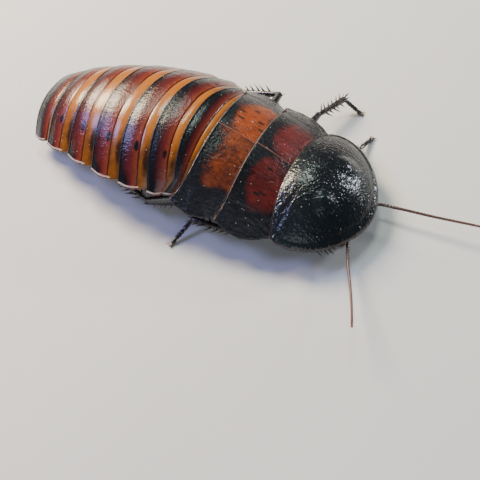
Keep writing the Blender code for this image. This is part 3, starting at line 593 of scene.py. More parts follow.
class Skin:
    """Collects the closed surfaces of one piece and their fields, and makes them one mesh.

    A field is a number for each point, such as how far it lies behind an edge. Its name is the
    attribute that a finish reads.
    """

    def __init__(self):
        self.points = []
        self.faces = []
        self.fields = {}
        self.count = 0

    def add(self, rings, **fields):
        """Adds closed skins over rings, an array of (skins, rings, points, 3) or of one skin
        less. A ring runs anticlockwise as seen against the way from ring to ring. Each end is
        closed by a fan to the middle of its last ring."""
        rings = np.asarray(rings, float)
        if rings.ndim == 3:
            rings = rings[None]
            fields = {
                name: np.asarray(value)[None] if np.ndim(value) == 2 else value
                for name, value in fields.items()
            }
        skins, along, around = rings.shape[:3]
        self.points.append(with_ends(rings))
        ring, spot = np.meshgrid(np.arange(along - 1), np.arange(around), indexing="ij")
        a, b = ring * around + spot, ring * around + (spot + 1) % around
        walls = np.stack([a, b, b + around, a, b + around, a + around], -1).reshape(-1, 3)
        spot, beside = np.arange(around), (np.arange(around) + 1) % around
        tail = (along - 1) * around
        first = np.stack([np.full(around, along * around), beside, spot], -1)
        last = np.stack([np.full(around, along * around + 1), tail + spot, tail + beside], -1)
        size = along * around + 2
        starts = self.count + np.arange(skins) * size
        faces = np.concatenate([walls, first, last]) + starts[:, None, None]
        self.faces.append(faces.reshape(-1, 3))
        for name in self.fields | fields:
            value = np.asarray(fields.get(name, 0.0), float)
            known = self.fields.setdefault(name, [np.zeros(self.count)])
            known.append(with_ends(np.broadcast_to(value, rings.shape[:3])).reshape(-1))
        self.count += skins * size

    def tubes(self, lines, wide, high=None, sides=12, **fields):
        """Adds tubes round lines of (tubes, points, 3) or (points, 3): each ring is an ellipse
        square to the line, half as wide and high as given."""
        lines = np.asarray(lines, float)
        if lines.ndim == 2:
            lines = lines[None]
        high = wide if high is None else high
        wide, high = (
            np.broadcast_to(size, lines.shape[:2])[..., None, None] for size in (wide, high)
        )
        across, up = frames(np.gradient(lines, axis=1))
        turn = np.linspace(0, 2 * math.pi, sides, endpoint=False)[:, None]
        rings = lines[:, :, None] + wide * np.cos(turn) * across[:, :, None]
        rings = rings + high * np.sin(turn) * up[:, :, None]
        self.add(rings, **{name: np.asarray(value)[..., None] for name, value in fields.items()})

    def thorns(self, roots, ways, lengths, radii, bend, sides=6, rings=6, **fields):
        """Adds thorns that taper to a point: each follows way from its root, bends by bend times
        its length squared, and is radius * (1 - share) ** 0.8 thick at each share of it."""
        share = np.linspace(0, 1, rings)[None, :, None]
        roots, ways = np.asarray(roots, float)[:, None], unit(ways)[:, None]
        lengths = np.broadcast_to(lengths, roots.shape[0])[:, None, None]
        lines = roots + ways * lengths * share + np.asarray(bend) * lengths * share**2
        taper = np.maximum(1 - share[..., 0], THORN_TIP) ** 0.8
        radii = np.broadcast_to(radii, roots.shape[0])[:, None] * taper
        self.tubes(lines, radii, radii, sides, tip=share[..., 0] + 0 * radii, **fields)

    def build(self, name, finish, slot, nodes=(), floor=None):
        """Makes the piece: its mesh in place, its finish and the nodes it stands for.
        No point of it lies below floor. The slot is not used."""
        points = np.concatenate([block.reshape(-1, 3) for block in self.points])
        if floor is not None:
            points[:, 2] = np.maximum(points[:, 2], floor)
        mesh = bpy.data.meshes.new(name)
        faces = np.concatenate(self.faces)
        mesh.from_pydata(((points + SHIFT) * MM).tolist(), [], faces.tolist())
        for field, blocks in self.fields.items():
            values = np.concatenate(blocks).astype(np.float32)
            mesh.attributes.new(field, "FLOAT", "POINT").data.foreach_set("value", values)
        mesh.shade_smooth()
        mesh.set_sharp_from_angle(angle=SHARP_EDGE)
        mesh.materials.append(finish)
        obj = bpy.data.objects.new(name, mesh)
        bpy.context.scene.collection.objects.link(obj)
        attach(obj, "root")
        if nodes:
            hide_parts(*nodes)
        return obj


class Finish:
    """One material: its Principled shader, and short calls that add nodes and give their output.
    Patterns are laid out on the piece's own place in millimetres."""

    def __init__(self, name, **sockets):
        self.material = bpy.data.materials.new(name)
        self.material.use_nodes = True
        self.tree = self.material.node_tree
        self.shader = self.tree.nodes["Principled BSDF"]
        for socket, value in sockets.items():
            self.shader.inputs[socket.replace("_", " ")].default_value = value
        self.place = self.scale(self.node("ShaderNodeTexCoord", output="Object"), 1 / MM)

    def join(self, socket, value):
        """Links an output to a socket, or sets the socket to a value."""
        if isinstance(value, bpy.types.NodeSocket):
            self.tree.links.new(value, socket)
        else:
            socket.default_value = value

    def node(self, kind, inputs=None, output=0, **settings):
        """Adds a node, sets or joins its inputs, and returns one of its outputs."""
        made = self.tree.nodes.new(kind)
        for setting, value in settings.items():
            setattr(made, setting, value)
        for socket, value in (inputs or {}).items():
            self.join(made.inputs[socket], value)
        return made.outputs[output]

    def field(self, name):
        """The value of one of the piece's fields."""
        return self.node("ShaderNodeAttribute", output="Fac", attribute_name=name)

    def sum(self, a, b, factor=1.0):
        """a + b * factor, where each is a number or an output."""
        return self.node("ShaderNodeMath", {0: b, 1: factor, 2: a}, operation="MULTIPLY_ADD")

    def times(self, a, b):
        """a * b."""
        return self.node("ShaderNodeMath", {0: a, 1: b}, operation="MULTIPLY")

    def scale(self, vector, factor):
        """A place or a colour times a number or an output."""
        return self.node("ShaderNodeVectorMath", {0: vector, "Scale": factor}, operation="SCALE")

    def step(self, value, low, high, start=0.0, end=1.0):
        """A smooth ramp from start, where value is low, to end, where it is high."""
        inputs = {"Value": value, "From Min": low, "From Max": high, "To Min": start, "To Max": end}
        return self.node("ShaderNodeMapRange", inputs, interpolation_type="SMOOTHSTEP")

    def noise(self, per_mm, detail=3.0, stretch=None, rough=0.5):
        """Clouds with per_mm of them in a millimetre, from about -0.5 to 0.5."""
        place = self.place
        if stretch is not None:
            place = self.node("ShaderNodeMapping", {"Vector": place, "Scale": stretch})
        inputs = {"Vector": place, "Scale": per_mm, "Detail": detail, "Roughness": rough}
        made = self.node("ShaderNodeTexNoise", inputs)
        return self.node("ShaderNodeMath", {0: made, 1: 0.5}, operation="SUBTRACT")

    def clouds(self, per_mm, low=0.0, high=1.0, detail=4):
        """Soft clouds whose values run from low to high."""
        return self.step(self.noise(per_mm, detail), -CLOUD_REACH, CLOUD_REACH, low, high)

    def ragged(self, name, per_mm, detail, uneven, low, high, most=1.0):
        """A field with an edge made uneven by noise: 0 up to low, and most from high on."""
        shaken = self.sum(self.field(name), self.noise(per_mm, detail), uneven)
        return self.step(shaken, low, high, 0.0, most)

    def cells(self, per_mm, output="Distance", **settings):
        """Cells with per_mm of them in a millimetre: the distance to the nearest middle."""
        inputs = {"Vector": self.place, "Scale": per_mm}
        return self.node("ShaderNodeTexVoronoi", inputs, output, **settings)

    def pits(self, per_mm):
        """Cells whose distances run smoothly into each other."""
        return self.cells(per_mm, feature="SMOOTH_F1")

    def ramp(self, value, stops):
        """The colour for a value, read from (place, colour) stops."""
        made = self.tree.nodes.new("ShaderNodeValToRGB")
        self.tree.links.new(value, made.inputs[0])
        elements = made.color_ramp.elements
        while len(elements) < len(stops):
            elements.new(0.5)
        for element, (place, colour) in zip(elements, stops):
            element.position = place
            element.color = (*colour, 1.0)
        return made.outputs[0]

    def mix(self, factor, a, b):
        """Colour a where factor is 0 and b where it is 1."""
        colours = {6: a, 7: b}
        inputs = {k: (*v, 1.0) if isinstance(v, tuple) else v for k, v in colours.items()}
        return self.node("ShaderNodeMix", {0: factor, **inputs}, output=2, data_type="RGBA")

    def specks(self, per_mm, radius, share):
        """1 in a few round specks: in that share of the cells, within radius of the middle."""
        near = self.step(self.cells(per_mm), radius, radius * 0.6)
        tint = self.node("ShaderNodeSeparateColor", {0: self.cells(per_mm, "Color")})
        return self.times(near, self.step(tint, share + 0.01, share - 0.01))

    def finish(self, colour, roughness, height, depth):
        """Joins colour, roughness and a bump of height times depth in millimetres."""
        inputs = {"Height": height, "Distance": depth * MM, "Strength": 1.0}
        bump = self.node("ShaderNodeBump", inputs)
        sockets = self.shader.inputs
        self.join(sockets["Base Color"], colour)
        self.join(sockets["Roughness"], roughness)
        self.join(sockets["Normal"], bump)
        self.join(sockets["Coat Normal"], bump)
        return self.material


class CockroachColours(bpy.types.PropertyGroup):
    """Colours of the cuticle and of the floor."""

    black: FloatVectorProperty(
        name="Black",
        description="The shield, the legs and the hind edges",
        subtype="COLOR",
        default=(0.0035, 0.004, 0.006),
    )
    lobe: FloatVectorProperty(
        name="Side lobes",
        description="The dull sides of the thorax",
        subtype="COLOR",
        default=(0.006, 0.0065, 0.009),
    )
    maroon: FloatVectorProperty(
        name="Maroon",
        description="The dark half of each abdominal plate",
        subtype="COLOR",
        default=(0.080, 0.010, 0.011),
    )
    russet: FloatVectorProperty(
        name="Russet",
        description="Between the groove and the maroon",
        subtype="COLOR",
        default=(0.17, 0.030, 0.010),
    )
    amber: FloatVectorProperty(
        name="Amber",
        description="The pale band at the front of each plate",
        subtype="COLOR",
        default=(0.36, 0.115, 0.015),
    )
    orange: FloatVectorProperty(
        name="Orange",
        description="The two patches of the hind thoracic plate",
        subtype="COLOR",
        default=(0.27, 0.050, 0.009),
    )
    claret: FloatVectorProperty(
        name="Claret",
        description="The two patches of the front thoracic plate",
        subtype="COLOR",
        default=(0.13, 0.012, 0.010),
    )
    # On the side rims of the abdominal plates this colour is a painted highlight.
    pale: FloatVectorProperty(
        name="Pale edge",
        description="The rims of the plates and the tips of the bristles",
        subtype="COLOR",
        default=(0.50, 0.38, 0.34),
    )
    leg: FloatVectorProperty(
        name="Leg",
        description="Thighs, shins and feet",
        subtype="COLOR",
        default=(0.012, 0.008, 0.007),
    )
    belly: FloatVectorProperty(
        name="Belly",
        description="The middle of each belly plate",
        subtype="COLOR",
        default=(0.22, 0.065, 0.018),
    )
    feeler: FloatVectorProperty(
        name="Feeler",
        description="The rings of the feelers",
        subtype="COLOR",
        default=(0.055, 0.015, 0.009),
    )
    floor: FloatVectorProperty(
        name="Floor",
        description="The plain floor",
        subtype="COLOR",
        default=(0.62, 0.61, 0.59),
    )


class CockroachSizes(bpy.types.PropertyGroup):
    """Sizes of the fine relief, the spines and the bristles, and the power of the lamps."""

    grain: FloatProperty(
        name="Grain",
        description="Relief of the fine grains of the shield and the thorax",
        subtype="DISTANCE",
        default=0.045 * MM,
        min=0,
    )
    wrinkle: FloatProperty(
        name="Wrinkle",
        description="Relief of the maroon half of each plate",
        subtype="DISTANCE",
        default=0.05 * MM,
        min=0,
    )
    spine: FloatProperty(
        name="Spine",
        description="Length of the longest spines of a leg",
        subtype="DISTANCE",
        default=1.9 * MM,
        min=0,
    )
    bristle: FloatProperty(
        name="Bristle",
        description="Length of the bristles on the plates' edges",
        subtype="DISTANCE",
        default=0.5 * MM,
        min=0,
    )
    key_power: FloatProperty(
        name="Key light",
        description="Power of the warm light behind the animal",
        unit="POWER",
        default=4.4,
        min=0,
    )
    sky_power: FloatProperty(
        name="Sky light",
        description="Power of the cool light beside it",
        unit="POWER",
        default=1.5,
        min=0,
    )
    green_power: FloatProperty(
        name="Green light",
        description="Power of the greenish light over the thorax",
        unit="POWER",
        default=0.85,
        min=0,
    )
    front_power: FloatProperty(
        name="Front light",
        description="Power of the light before the shield",
        unit="POWER",
        default=0.75,
        min=0,
    )
    fill_power: FloatProperty(
        name="Fill light",
        description="Power of the wide light on the animal's right",
        unit="POWER",
        default=1.2,
        min=0,
    )


def colours():
    """The three numbers of each colour, by name."""
    group = bpy.context.scene.cockroach_colours
    return {name: tuple(getattr(group, name)) for name in CockroachColours.__annotations__}


def hind_edge(index, across):
    """x of a plate's hind edge at each place across it: back from the midline by
    bow * |across| ** BOW_POWER + corner * |across| ** CORNER_POWER, and always
    SHORTEST_PLATE behind the plate before it."""
    plate = PLATES[PLATE_NAMES[index]]
    out = np.abs(across)
    edge = plate.hind - plate.bow * out**BOW_POWER - plate.corner * out**CORNER_POWER
    if index:
        edge = np.minimum(edge, hind_edge(index - 1, across) - SHORTEST_PLATE)
    return edge


def arch_point(index, across, depth=0.0, ahead=0.0):
    """A point of the arch over a plate's hind edge, height = side + arch * (1 - |across| **
    ARCH_POWER), drawn in towards the body's middle by depth and moved ahead of the edge."""
    plate = PLATES[PLATE_NAMES[index]]
    y = plate.half * across
    z = plate.side + plate.arch * (1 - np.abs(across) ** ARCH_POWER)
    middle = plate.side - EDGE_THICKNESS / 2
    reach = np.hypot(y, z - middle)
    share = (reach - depth) / reach
    x = hind_edge(index, across * share) + ahead
    return np.stack([x, y * share, middle + (z - middle) * share], -1)


def step_depth(across):
    """How far a plate's front lies under the edge before it: more at the sides than on top."""
    return STEP_ON_TOP + STEP_AT_SIDE * np.abs(across) ** 4


def plate_top(index, across, share):
    """A plate's upper side between the edge before it, share 0, and its own, share 1: the two
    arches joined by straight lines, swollen by PLATE_CROWN in between and out at the sides."""
    plate = PLATES[PLATE_NAMES[index]]
    front = arch_point(index - 1, across, step_depth(across))
    rim = arch_point(index, across)
    swell = np.sin(share * math.pi)
    outward = plate.bulge * swell * np.sign(across) * np.abs(across) ** BULGE_POWER
    point = front * (1 - share[..., None]) + rim * share[..., None]
    point[..., 1] += outward
    point[..., 2] += PLATE_CROWN * swell - BULGE_DROP * np.abs(outward)
    return point


def raised(points, index, height):
    """Points moved out from the body's middle line by height."""
    plate = PLATES[PLATE_NAMES[index]]
    away = points - np.array([0, 0, plate.side - EDGE_THICKNESS / 2])
    away[..., 0] = 0
    return points + unit(away) * np.asarray(height)[..., None]


def plate_rings(index, relief):
    """The rings of a whole plate, from under the plate before it to its lip, with the fields
    across, share and length. relief(across, share, length) is the height of its fine shape."""
    across = np.sin(np.linspace(-1, 1, PLATE_COLUMNS) * math.pi / 2)[None]
    share = np.concatenate([np.linspace(0, 0.9, 40), np.linspace(0.92, 1, 8)])[:, None]
    wide, along = np.broadcast_arrays(across, share)
    length = hind_edge(index - 1, wide) - hind_edge(index, wide)
    top = raised(plate_top(index, wide, along), index, relief(wide, along, length))
    tuck_depth = step_depth(across) + LIP_DEPTH - LIP_THICKNESS
    tucked = arch_point(index - 1, across, tuck_depth, LIP_REACH - GAP)
    part = np.array([0.0, 0.5])[:, None, None]
    tuck = tucked * (1 - part) + top[:1] * part
    lip = [arch_point(index, across, depth + 0 * across, ahead) for depth, ahead in LIP_ROWS]
    upper = np.concatenate([tuck, top, *lip])
    ends = len(tuck), len(lip)
    shares = np.concatenate([[[-0.2], [-0.1]], share, np.ones((ends[1], 1))])
    fields = {
        "across": np.broadcast_to(across, upper.shape[:2]),
        "share": np.broadcast_to(shares, upper.shape[:2]),
        "length": np.concatenate([length[: ends[0]], length, length[: ends[1]]]),
    }
    return closed_arch(upper, fields)


def closed_arch(upper, fields):
    """Rings from arched rows: each row, a rounded edge down each side and a flat floor
    EDGE_THICKNESS below. Fields are carried on to the new points, and the field above is 1 on
    the rows and fades to 0 over the edges."""
    turn = np.linspace(0, math.pi, 6)[1:-1]
    right, left = upper[:, -1:], upper[:, :1]
    bead = EDGE_THICKNESS / 2
    down = np.stack([0 * turn, 0.5 * bead * np.sin(turn), bead * (np.cos(turn) - 1)], -1)
    inward = np.linspace(1, -1, FLOOR_COLUMNS)[None, :, None]
    drop = np.array([0, 0, -EDGE_THICKNESS])
    floor = (right + left) / 2 + (right - left) / 2 * inward + drop
    columns = upper.shape[1]
    places = np.linspace(0, 1, FLOOR_COLUMNS)
    middle = np.interp(places, np.linspace(0, 1, columns), np.arange(columns)).astype(int)[::-1]
    floor[..., 0] = upper[:, middle, 0]
    floor[..., 2] = np.minimum(floor[..., 2], upper[:, middle, 2] - 0.1)
    rings = np.concatenate([upper, right + down, floor, (left + down * [1, -1, 1])[:, ::-1]], 1)
    carried = {}
    for name, value in fields.items():
        sides = [np.repeat(value[:, end], len(turn), 1) for end in (slice(-1, None), slice(1))]
        carried[name] = np.concatenate([value, sides[0], value[:, middle], sides[1]], 1)
    fade = np.array([0.5, 0.1, 0, 0])
    above = np.concatenate([np.ones(columns), fade, np.zeros(FLOOR_COLUMNS), fade[::-1]])
    carried["above"] = np.broadcast_to(above, rings.shape[:2])
    return rings, carried


def abdomen_relief(name):
    """The fine shape of an abdominal plate: a groove behind the amber band, a swelling before
    and behind it, a bead along the hind edge and the sides, and soft waves."""
    band = ABDOMEN_MARKS[name].band

    def relief(across, share, length):
        groove = -GROOVE_DEPTH * hump((share - band) * length, 0, GROOVE_WIDTH)
        swell = HIND_SWELL * np.sin(math.pi * smooth(share, band, 1.0))
        swell = swell + BAND_SWELL * np.sin(math.pi * smooth(share, 0, band))
        bead = HIND_BEAD * hump((1 - share) * length, HIND_BEAD_AT, HIND_BEAD_WIDTH)
        side = hump(np.abs(across), 1.0, SIDE_BEAD_WIDTH) * smooth(share, 0.1, 0.3)
        bead = bead + SIDE_BEAD * side
        x, y = share * length * ABDOMEN_WAVES_ALONG, across * ABDOMEN_WAVES_ACROSS
        waves = ripple(y, x, PLATE_NAMES.index(name))
        behind = smooth(share, band, band + 0.2)
        return groove + swell + bead + ABDOMEN_WAVES * waves * behind

    return relief


def abdomen_tone(name, across, share):
    """What colour an abdominal plate has at a place: from -1 at its front to 0 at the groove
    in the amber, and from 0 to 1 at the hind edge through russet and maroon to black. Black
    comes further forward at the sides."""
    marks = ABDOMEN_MARKS[name]
    band = marks.band
    behind = (share - band) / (1 - band)
    corner = smooth(np.abs(across), 0.86, 1.02) * 0.55 * smooth(share, band + 0.12, band + 0.25)
    tone = behind + (marks.black + corner) * smooth(behind, 0.04, 0.7)
    return np.where(share < band, share / band - 1, tone)


def abdomen_spots(name, across, share, length):
    """1 in the dark oval behind the groove on each side, and 1 in the cloudy streak before it."""
    marks = ABDOMEN_MARKS[name]
    half = PLATES[name].half
    side = np.abs(across) * half
    oval_at, streak_at = ((at[0] * half, at[1]) for at in (OVAL_AT, STREAK_AT))
    oval = from_middle(side, (share - marks.band) * length, oval_at, OVAL_HALVES)
    streak = from_middle(side, share * length, streak_at, STREAK_HALVES)
    return marks.spots * hump(oval, 0, 1.0), marks.spots * hump(streak, 0, 1.0)


def abdomen_finish(tints):
    """Amber, russet, maroon and black in bands by tone, glossy, wrinkled behind the groove, with
    dark spots and a pale rim along the sides that is a painted highlight on the side bead. The
    amber has a painted shadow at its front and painted shade down the flanks."""
    f = Finish("abdomen_cuticle", Coat_Weight=0.5, Coat_Roughness=0.14, Specular_IOR_Level=0.12)
    tone = f.sum(f.sum(f.field("tone"), f.noise(0.45, 4), 0.12), f.noise(3.0, 4), 0.03)
    amber, russet, maroon, black = (tints[name] for name in ("amber", "russet", "maroon", "black"))
    stops = (
        # The amber darkens to its front: a painted shadow under the edge of the plate before.
        (0.0, dimmed(amber, 0.45)),
        (0.12, amber),
        (0.36, amber),
        (0.45, dimmed(amber, 0.85)),
        (0.485, blended(amber, russet, 0.35, 0.6)),
        (0.497, dimmed(maroon, 0.45)),
        (0.515, dimmed(maroon, 0.45)),
        (0.535, russet),
        (0.60, blended(russet, maroon, 0.6, 0.4)),
        (0.72, maroon),
        (0.86, dimmed(maroon, 0.55)),
        (0.95, dimmed(maroon, 0.25)),
        (1.0, black),
    )
    colour = f.ramp(f.sum(0.5, tone, 0.5), stops)
    colour = f.mix(f.ragged("streak", 1.0, 5, 0.9, 0.15, 0.85, 0.9), colour, STREAK_BROWN)
    colour = f.mix(f.ragged("oval", 1.8, 4, 0.5, 0.3, 0.65), colour, OVAL_BLACK)
    # Mottled all over, and the amber darker down the flanks: painted shade on the sides that
    # slope away from the light.
    mottle = f.step(f.noise(0.9, 4, (1.0, 0.5, 1.0)), -0.25, 0.3, 0.85, 1.1)
    amber_painted_shade = f.times(f.field("flank"), f.step(tone, 0.05, -0.05))
    colour = f.scale(colour, f.sum(mottle, amber_painted_shade, -0.55))
    # A pale rim along the side edges: a painted highlight on the side bead.
    colour = f.mix(f.ragged("rim", 2.5, 3, 0.5, 0.45, 0.7, 0.75), colour, tints["pale"])
    colour = f.mix(f.specks(1.3, 0.09, 0.35), colour, ABDOMEN_SPECK)
    # Wrinkles and pits behind the groove, and fine lengthwise lines all over.
    wrinkle = f.sum(f.times(f.noise(2.0, 6, (0.7, 1.2, 1.0), 0.65), 1.5), f.pits(3.4), 0.9)
    wrinkle = f.sum(f.times(wrinkle, 0.55), f.noise(0.9, 5, (0.6, 1.3, 1.0), 0.6), 1.6)
    behind = f.step(tone, 0.0, 0.12)
    height = f.sum(f.times(behind, wrinkle), f.noise(1.4, 3, (1.0, 5.0, 1.0)), 0.35)
    depth = bpy.context.scene.cockroach_sizes.wrinkle / MM
    return f.finish(colour, f.clouds(1.5, 0.26, 0.38), height, depth)


def thorax_relief(name):
    """The fine shape of a thoracic plate: a line along the middle, a fold before each side lobe,
    creases on the lobe, a bead at the hind edge, a raised rim at the sides and soft waves."""

    def relief(across, share, length):
        y = across * PLATES[name].half
        side = np.abs(across)
        middle = -MIDDLE_LINE_DEPTH * hump(y, 0, MIDDLE_LINE_WIDTH)
        fold = -LOBE_FOLD_DEPTH * hump(side, LOBE_FOLD_AT, LOBE_FOLD_WIDTH)
        fold = fold * smooth(share, 0.15, 0.5)
        creases = LOBE_CREASES_ALONG * share * length + LOBE_CREASES_ACROSS * np.abs(y)
        creases = LOBE_CREASES * np.sin(creases) * smooth(side, 0.82, 0.9)
        bead = THORAX_BEAD * hump((1 - share) * length, THORAX_BEAD_AT, THORAX_BEAD_WIDTH)
        rim = THORAX_RIM * hump(side, 1.0, THORAX_RIM_WIDTH)
        waves = THORAX_WAVES * ripple(y, share * length, PLATE_NAMES.index(name))
        return middle + fold + creases + bead + rim + waves

    return relief


def thorax_tone(name, across, share):
    """How red a thoracic plate is: 1 in the two patches, 0 in the black round them. Far is the
    left patch and near the right one, which is duller: painted shade for how the light falls on
    that side."""
    side = np.abs(across)
    if name == "metanotum":
        far = smooth(from_middle(side, share, ORANGE_FAR_AT, ORANGE_FAR_HALVES), 1.2, 0.6)
        near = smooth(share, 0.95, 0.45) * smooth(side, 0.84, 0.70)
        seam = 0.3 * hump(side, 0, 0.02)
    else:
        far = smooth(from_middle(side, share, CLARET_FAR_AT, CLARET_FAR_HALVES), 1.2, 0.6)
        near = smooth(from_middle(side, share, CLARET_NEAR_AT, CLARET_NEAR_HALVES), 1.25, 0.7)
        seam = 0.5 * hump(side, 0, 0.06) * smooth(share, 0.2, 0.6)
    # The near patch is kept less red, painted shade for how the light falls on that side.
    return np.where(across < 0, NEAR_PAINTED_SHADE_REDNESS * near, far) * (1 - seam)


def thorax_finish(name, patch, tints):
    """Black grained cuticle with two patches, dark dashes and fine lines in them, a reddish line
    along the middle, a pale hind edge that is a painted highlight on its bead, and dull, creased
    side lobes."""
    f = Finish(name, Coat_Weight=0.45, Coat_Roughness=0.12, Specular_IOR_Level=0.12)
    tone = f.sum(f.sum(f.field("tone"), f.noise(0.24, 4), 1.3), f.noise(0.9, 4), 0.4)
    stops = (
        (0.28, tints["black"]),
        (0.44, blended(patch, tints["maroon"], 0.12, 0.3)),
        (0.62, dimmed(patch, 0.55)),
        (0.98, patch),
    )
    side = f.field("side")
    lobe = f.step(side, 0.80, 0.88)
    colour = f.mix(lobe, f.ramp(tone, stops), tints["lobe"])
    # Soft shade, cut by fine lengthwise lines where a stretched noise passes through 0.
    stretched = f.noise(0.9, 1, (0.12, 1.0, 0.3))
    from_line = f.node("ShaderNodeMath", {0: stretched}, operation="ABSOLUTE")
    shade = f.step(f.noise(0.8, 4, (0.7, 1.4, 1.0), 0.6), -0.22, 0.25, 0.6, 1.1)
    colour = f.scale(colour, f.sum(shade, f.step(from_line, 0.02, 0.004, 0.0, 0.4), -1.0))
    # Slanted dark dashes where the patches are red.
    lie = {"Vector": f.place, "Rotation": (0.0, 0.0, 0.4), "Scale": (0.30, 0.88, 0.45)}
    inputs = {"Vector": f.node("ShaderNodeMapping", lie), "Scale": 1.0}
    from_dash = f.sum(f.node("ShaderNodeTexVoronoi", inputs), f.noise(1.0, 3), 0.3)
    dash = f.times(f.step(from_dash, 0.25, 0.18, 0.0, 0.92), f.step(tone, 0.45, 0.7))
    colour = f.mix(dash, colour, DASH_BROWN)
    colour = f.mix(f.step(f.field("middle"), 0.5, 0.9, 0.0, 0.55), colour, MIDDLE_LINE_RED)
    # A pale line along the hind edge: a painted highlight on its bead.
    colour = f.mix(f.ragged("hind", 1.8, 4, 1.2, 0.4, 0.9, 0.7), colour, THORAX_EDGE_PAINTED_HIGHLIGHT)
    colour = f.mix(f.specks(1.3, 0.1, 0.6), colour, THORAX_SPECK)
    grain = f.sum(f.times(f.noise(1.5, 5, (0.6, 1.4, 1.0), 0.62), 2.6), f.pits(2.2), 0.6)
    creases = f.noise(0.7, 4, (0.8, 2.2, 1.0), 0.6)
    height = f.sum(f.times(grain, 1.5), creases, f.step(side, 0.72, 0.88, 0.8, 3.8))
    depth = bpy.context.scene.cockroach_sizes.grain / MM
    return f.finish(colour, f.sum(f.clouds(1.2, 0.28, 0.42), lobe, -0.08), height, depth)


def back_plates():
    """The two thoracic plates and the seven of the abdomen, each with its fields and finish."""
    tints = colours()
    abdomen = abdomen_finish(tints)
    thorax = {
        "mesonotum": thorax_finish("front_thorax_cuticle", tints["claret"], tints),
        "metanotum": thorax_finish("hind_thorax_cuticle", tints["orange"], tints),
    }
    for index, name in enumerate(PLATE_NAMES[1:], 1):
        in_thorax = name in thorax
        relief = thorax_relief(name) if in_thorax else abdomen_relief(name)
        rings, fields = plate_rings(index, relief)
        across, share, length, above = (fields[k] for k in ("across", "share", "length", "above"))
        side = np.abs(across)
        skin = Skin()
        if in_thorax:
            middle = hump(across * PLATES[name].half, 0, 0.09)
            # Where the pale line along the hind edge lies, a painted highlight on its bead.
            hind = hump((1 - share) * length, 0, 0.12) * above
            tone = thorax_tone(name, across, share)
            skin.add(rings, tone=tone, side=side, middle=middle, hind=hind)
            skin.build(name, thorax[name], "thorax_cuticle", [name])
        else:
            oval, streak = abdomen_spots(name, across, share, length)
            tone = abdomen_tone(name, across, share)
            # Where the pale rim lies, a painted highlight along the side bead.
            rim = smooth(side, 0.985, 0.997) * smooth(share, 0.1, 0.4) * above
            # The amber darkens down the flanks: painted shade on the sides that slope away from the
            # light.
            flank = smooth(side, 0.3, 0.8)
            skin.add(rings, tone=tone, oval=oval, streak=streak, rim=rim, flank=flank)
            skin.build(name, abdomen, "abdomen_cuticle", [name])


def shield_outline(turn):
    """The shield's edge for turns from 0 at its front to half a turn at the middle of its hind
    edge. In front x = front * cos(turn) ** SHIELD_OUTLINE_POWER and y = half * sin(turn) with a
    slight bulge; behind, it is the plate's own hind edge and arch."""
    plate = PLATES["pronotum"]
    size = np.abs(turn)
    a = np.clip(math.pi / 2 - size, 0, None)
    front_x = -plate.bow + (SHIELD_FRONT + plate.bow) * np.sin(a) ** SHIELD_OUTLINE_POWER
    front_y = plate.half * np.cos(a) * (1 + SHIELD_BULGE * np.sin(2 * a))
    front_z = plate.side - SHIELD_FRONT_DROP * np.sin(a) ** 2
    across = np.sin(np.clip(math.pi - size, 0, math.pi / 2))
    back_z = plate.side + plate.arch * (1 - across**ARCH_POWER)
    ahead = size <= math.pi / 2
    x = np.where(ahead, front_x, hind_edge(0, across))
    y = np.where(ahead, front_y, plate.half * across) * np.sign(turn)
    return np.stack([x, y, np.where(ahead, front_z, back_z)], -1)


def shield_relief(x, y, from_edge, ahead):
    """The shield's fine shape: two low knobs, a hollow between them, a dent beside the left one,
    a rim bead with a groove inside it where the edge is free, folds that follow the hind edge,
    and soft waves."""
    height = 0.0
    for side in (-1, 1):
        away = np.hypot(x - TUBERCLE_AT[0], y - side * TUBERCLE_AT[1]) / TUBERCLE_RADIUS
        height = height + TUBERCLE_HEIGHT * np.clip(1 - away**2, 0, None) ** 2
    height = height - HOLLOW_DEPTH * hump(from_middle(x, y, HOLLOW_AT, HOLLOW_HALVES), 0, 1)
    height = height - DENT_DEPTH * hump(from_middle(x, y, DENT_AT, DENT_HALVES), 0, 1)
    bead = hump(from_edge, RIM_BEAD_AT, RIM_BEAD_WIDTH)
    bead = bead - hump(from_edge, RIM_GROOVE_AT, RIM_GROOVE_WIDTH)
    folds = np.sin(2 * math.pi * (x + 0.02 * y * y) / FOLD_PITCH) * hump(x, FOLDS_AT, FOLDS_WIDTH)
    height = height + ahead * RIM_BEAD * bead
    height = height + FOLD_HEIGHT * folds * smooth(np.abs(y), 1.5, 4.0)
    return height + SHIELD_WAVES * ripple(x * SHIELD_WAVE_PACE, y * SHIELD_WAVE_PACE, 11)


def shield_wall(x, y, from_edge, ahead):
    """The shield's wall: thin at the rim, thicker inwards, and a thin lip at the hind edge."""
    rim = SHIELD_RIM + (SHIELD_THICKNESS - SHIELD_RIM) * smooth(from_edge / SHIELD_RIM_WIDTH)
    wall = np.where(ahead, rim, SHIELD_THICKNESS)
    across = np.minimum(1.0, np.abs(y) / PLATES["pronotum"].half)
    inside = smooth((x - hind_edge(0, across) - LIP_REACH) / SHIELD_RIM_WIDTH)
    return LIP_THICKNESS + (wall - LIP_THICKNESS) * inside


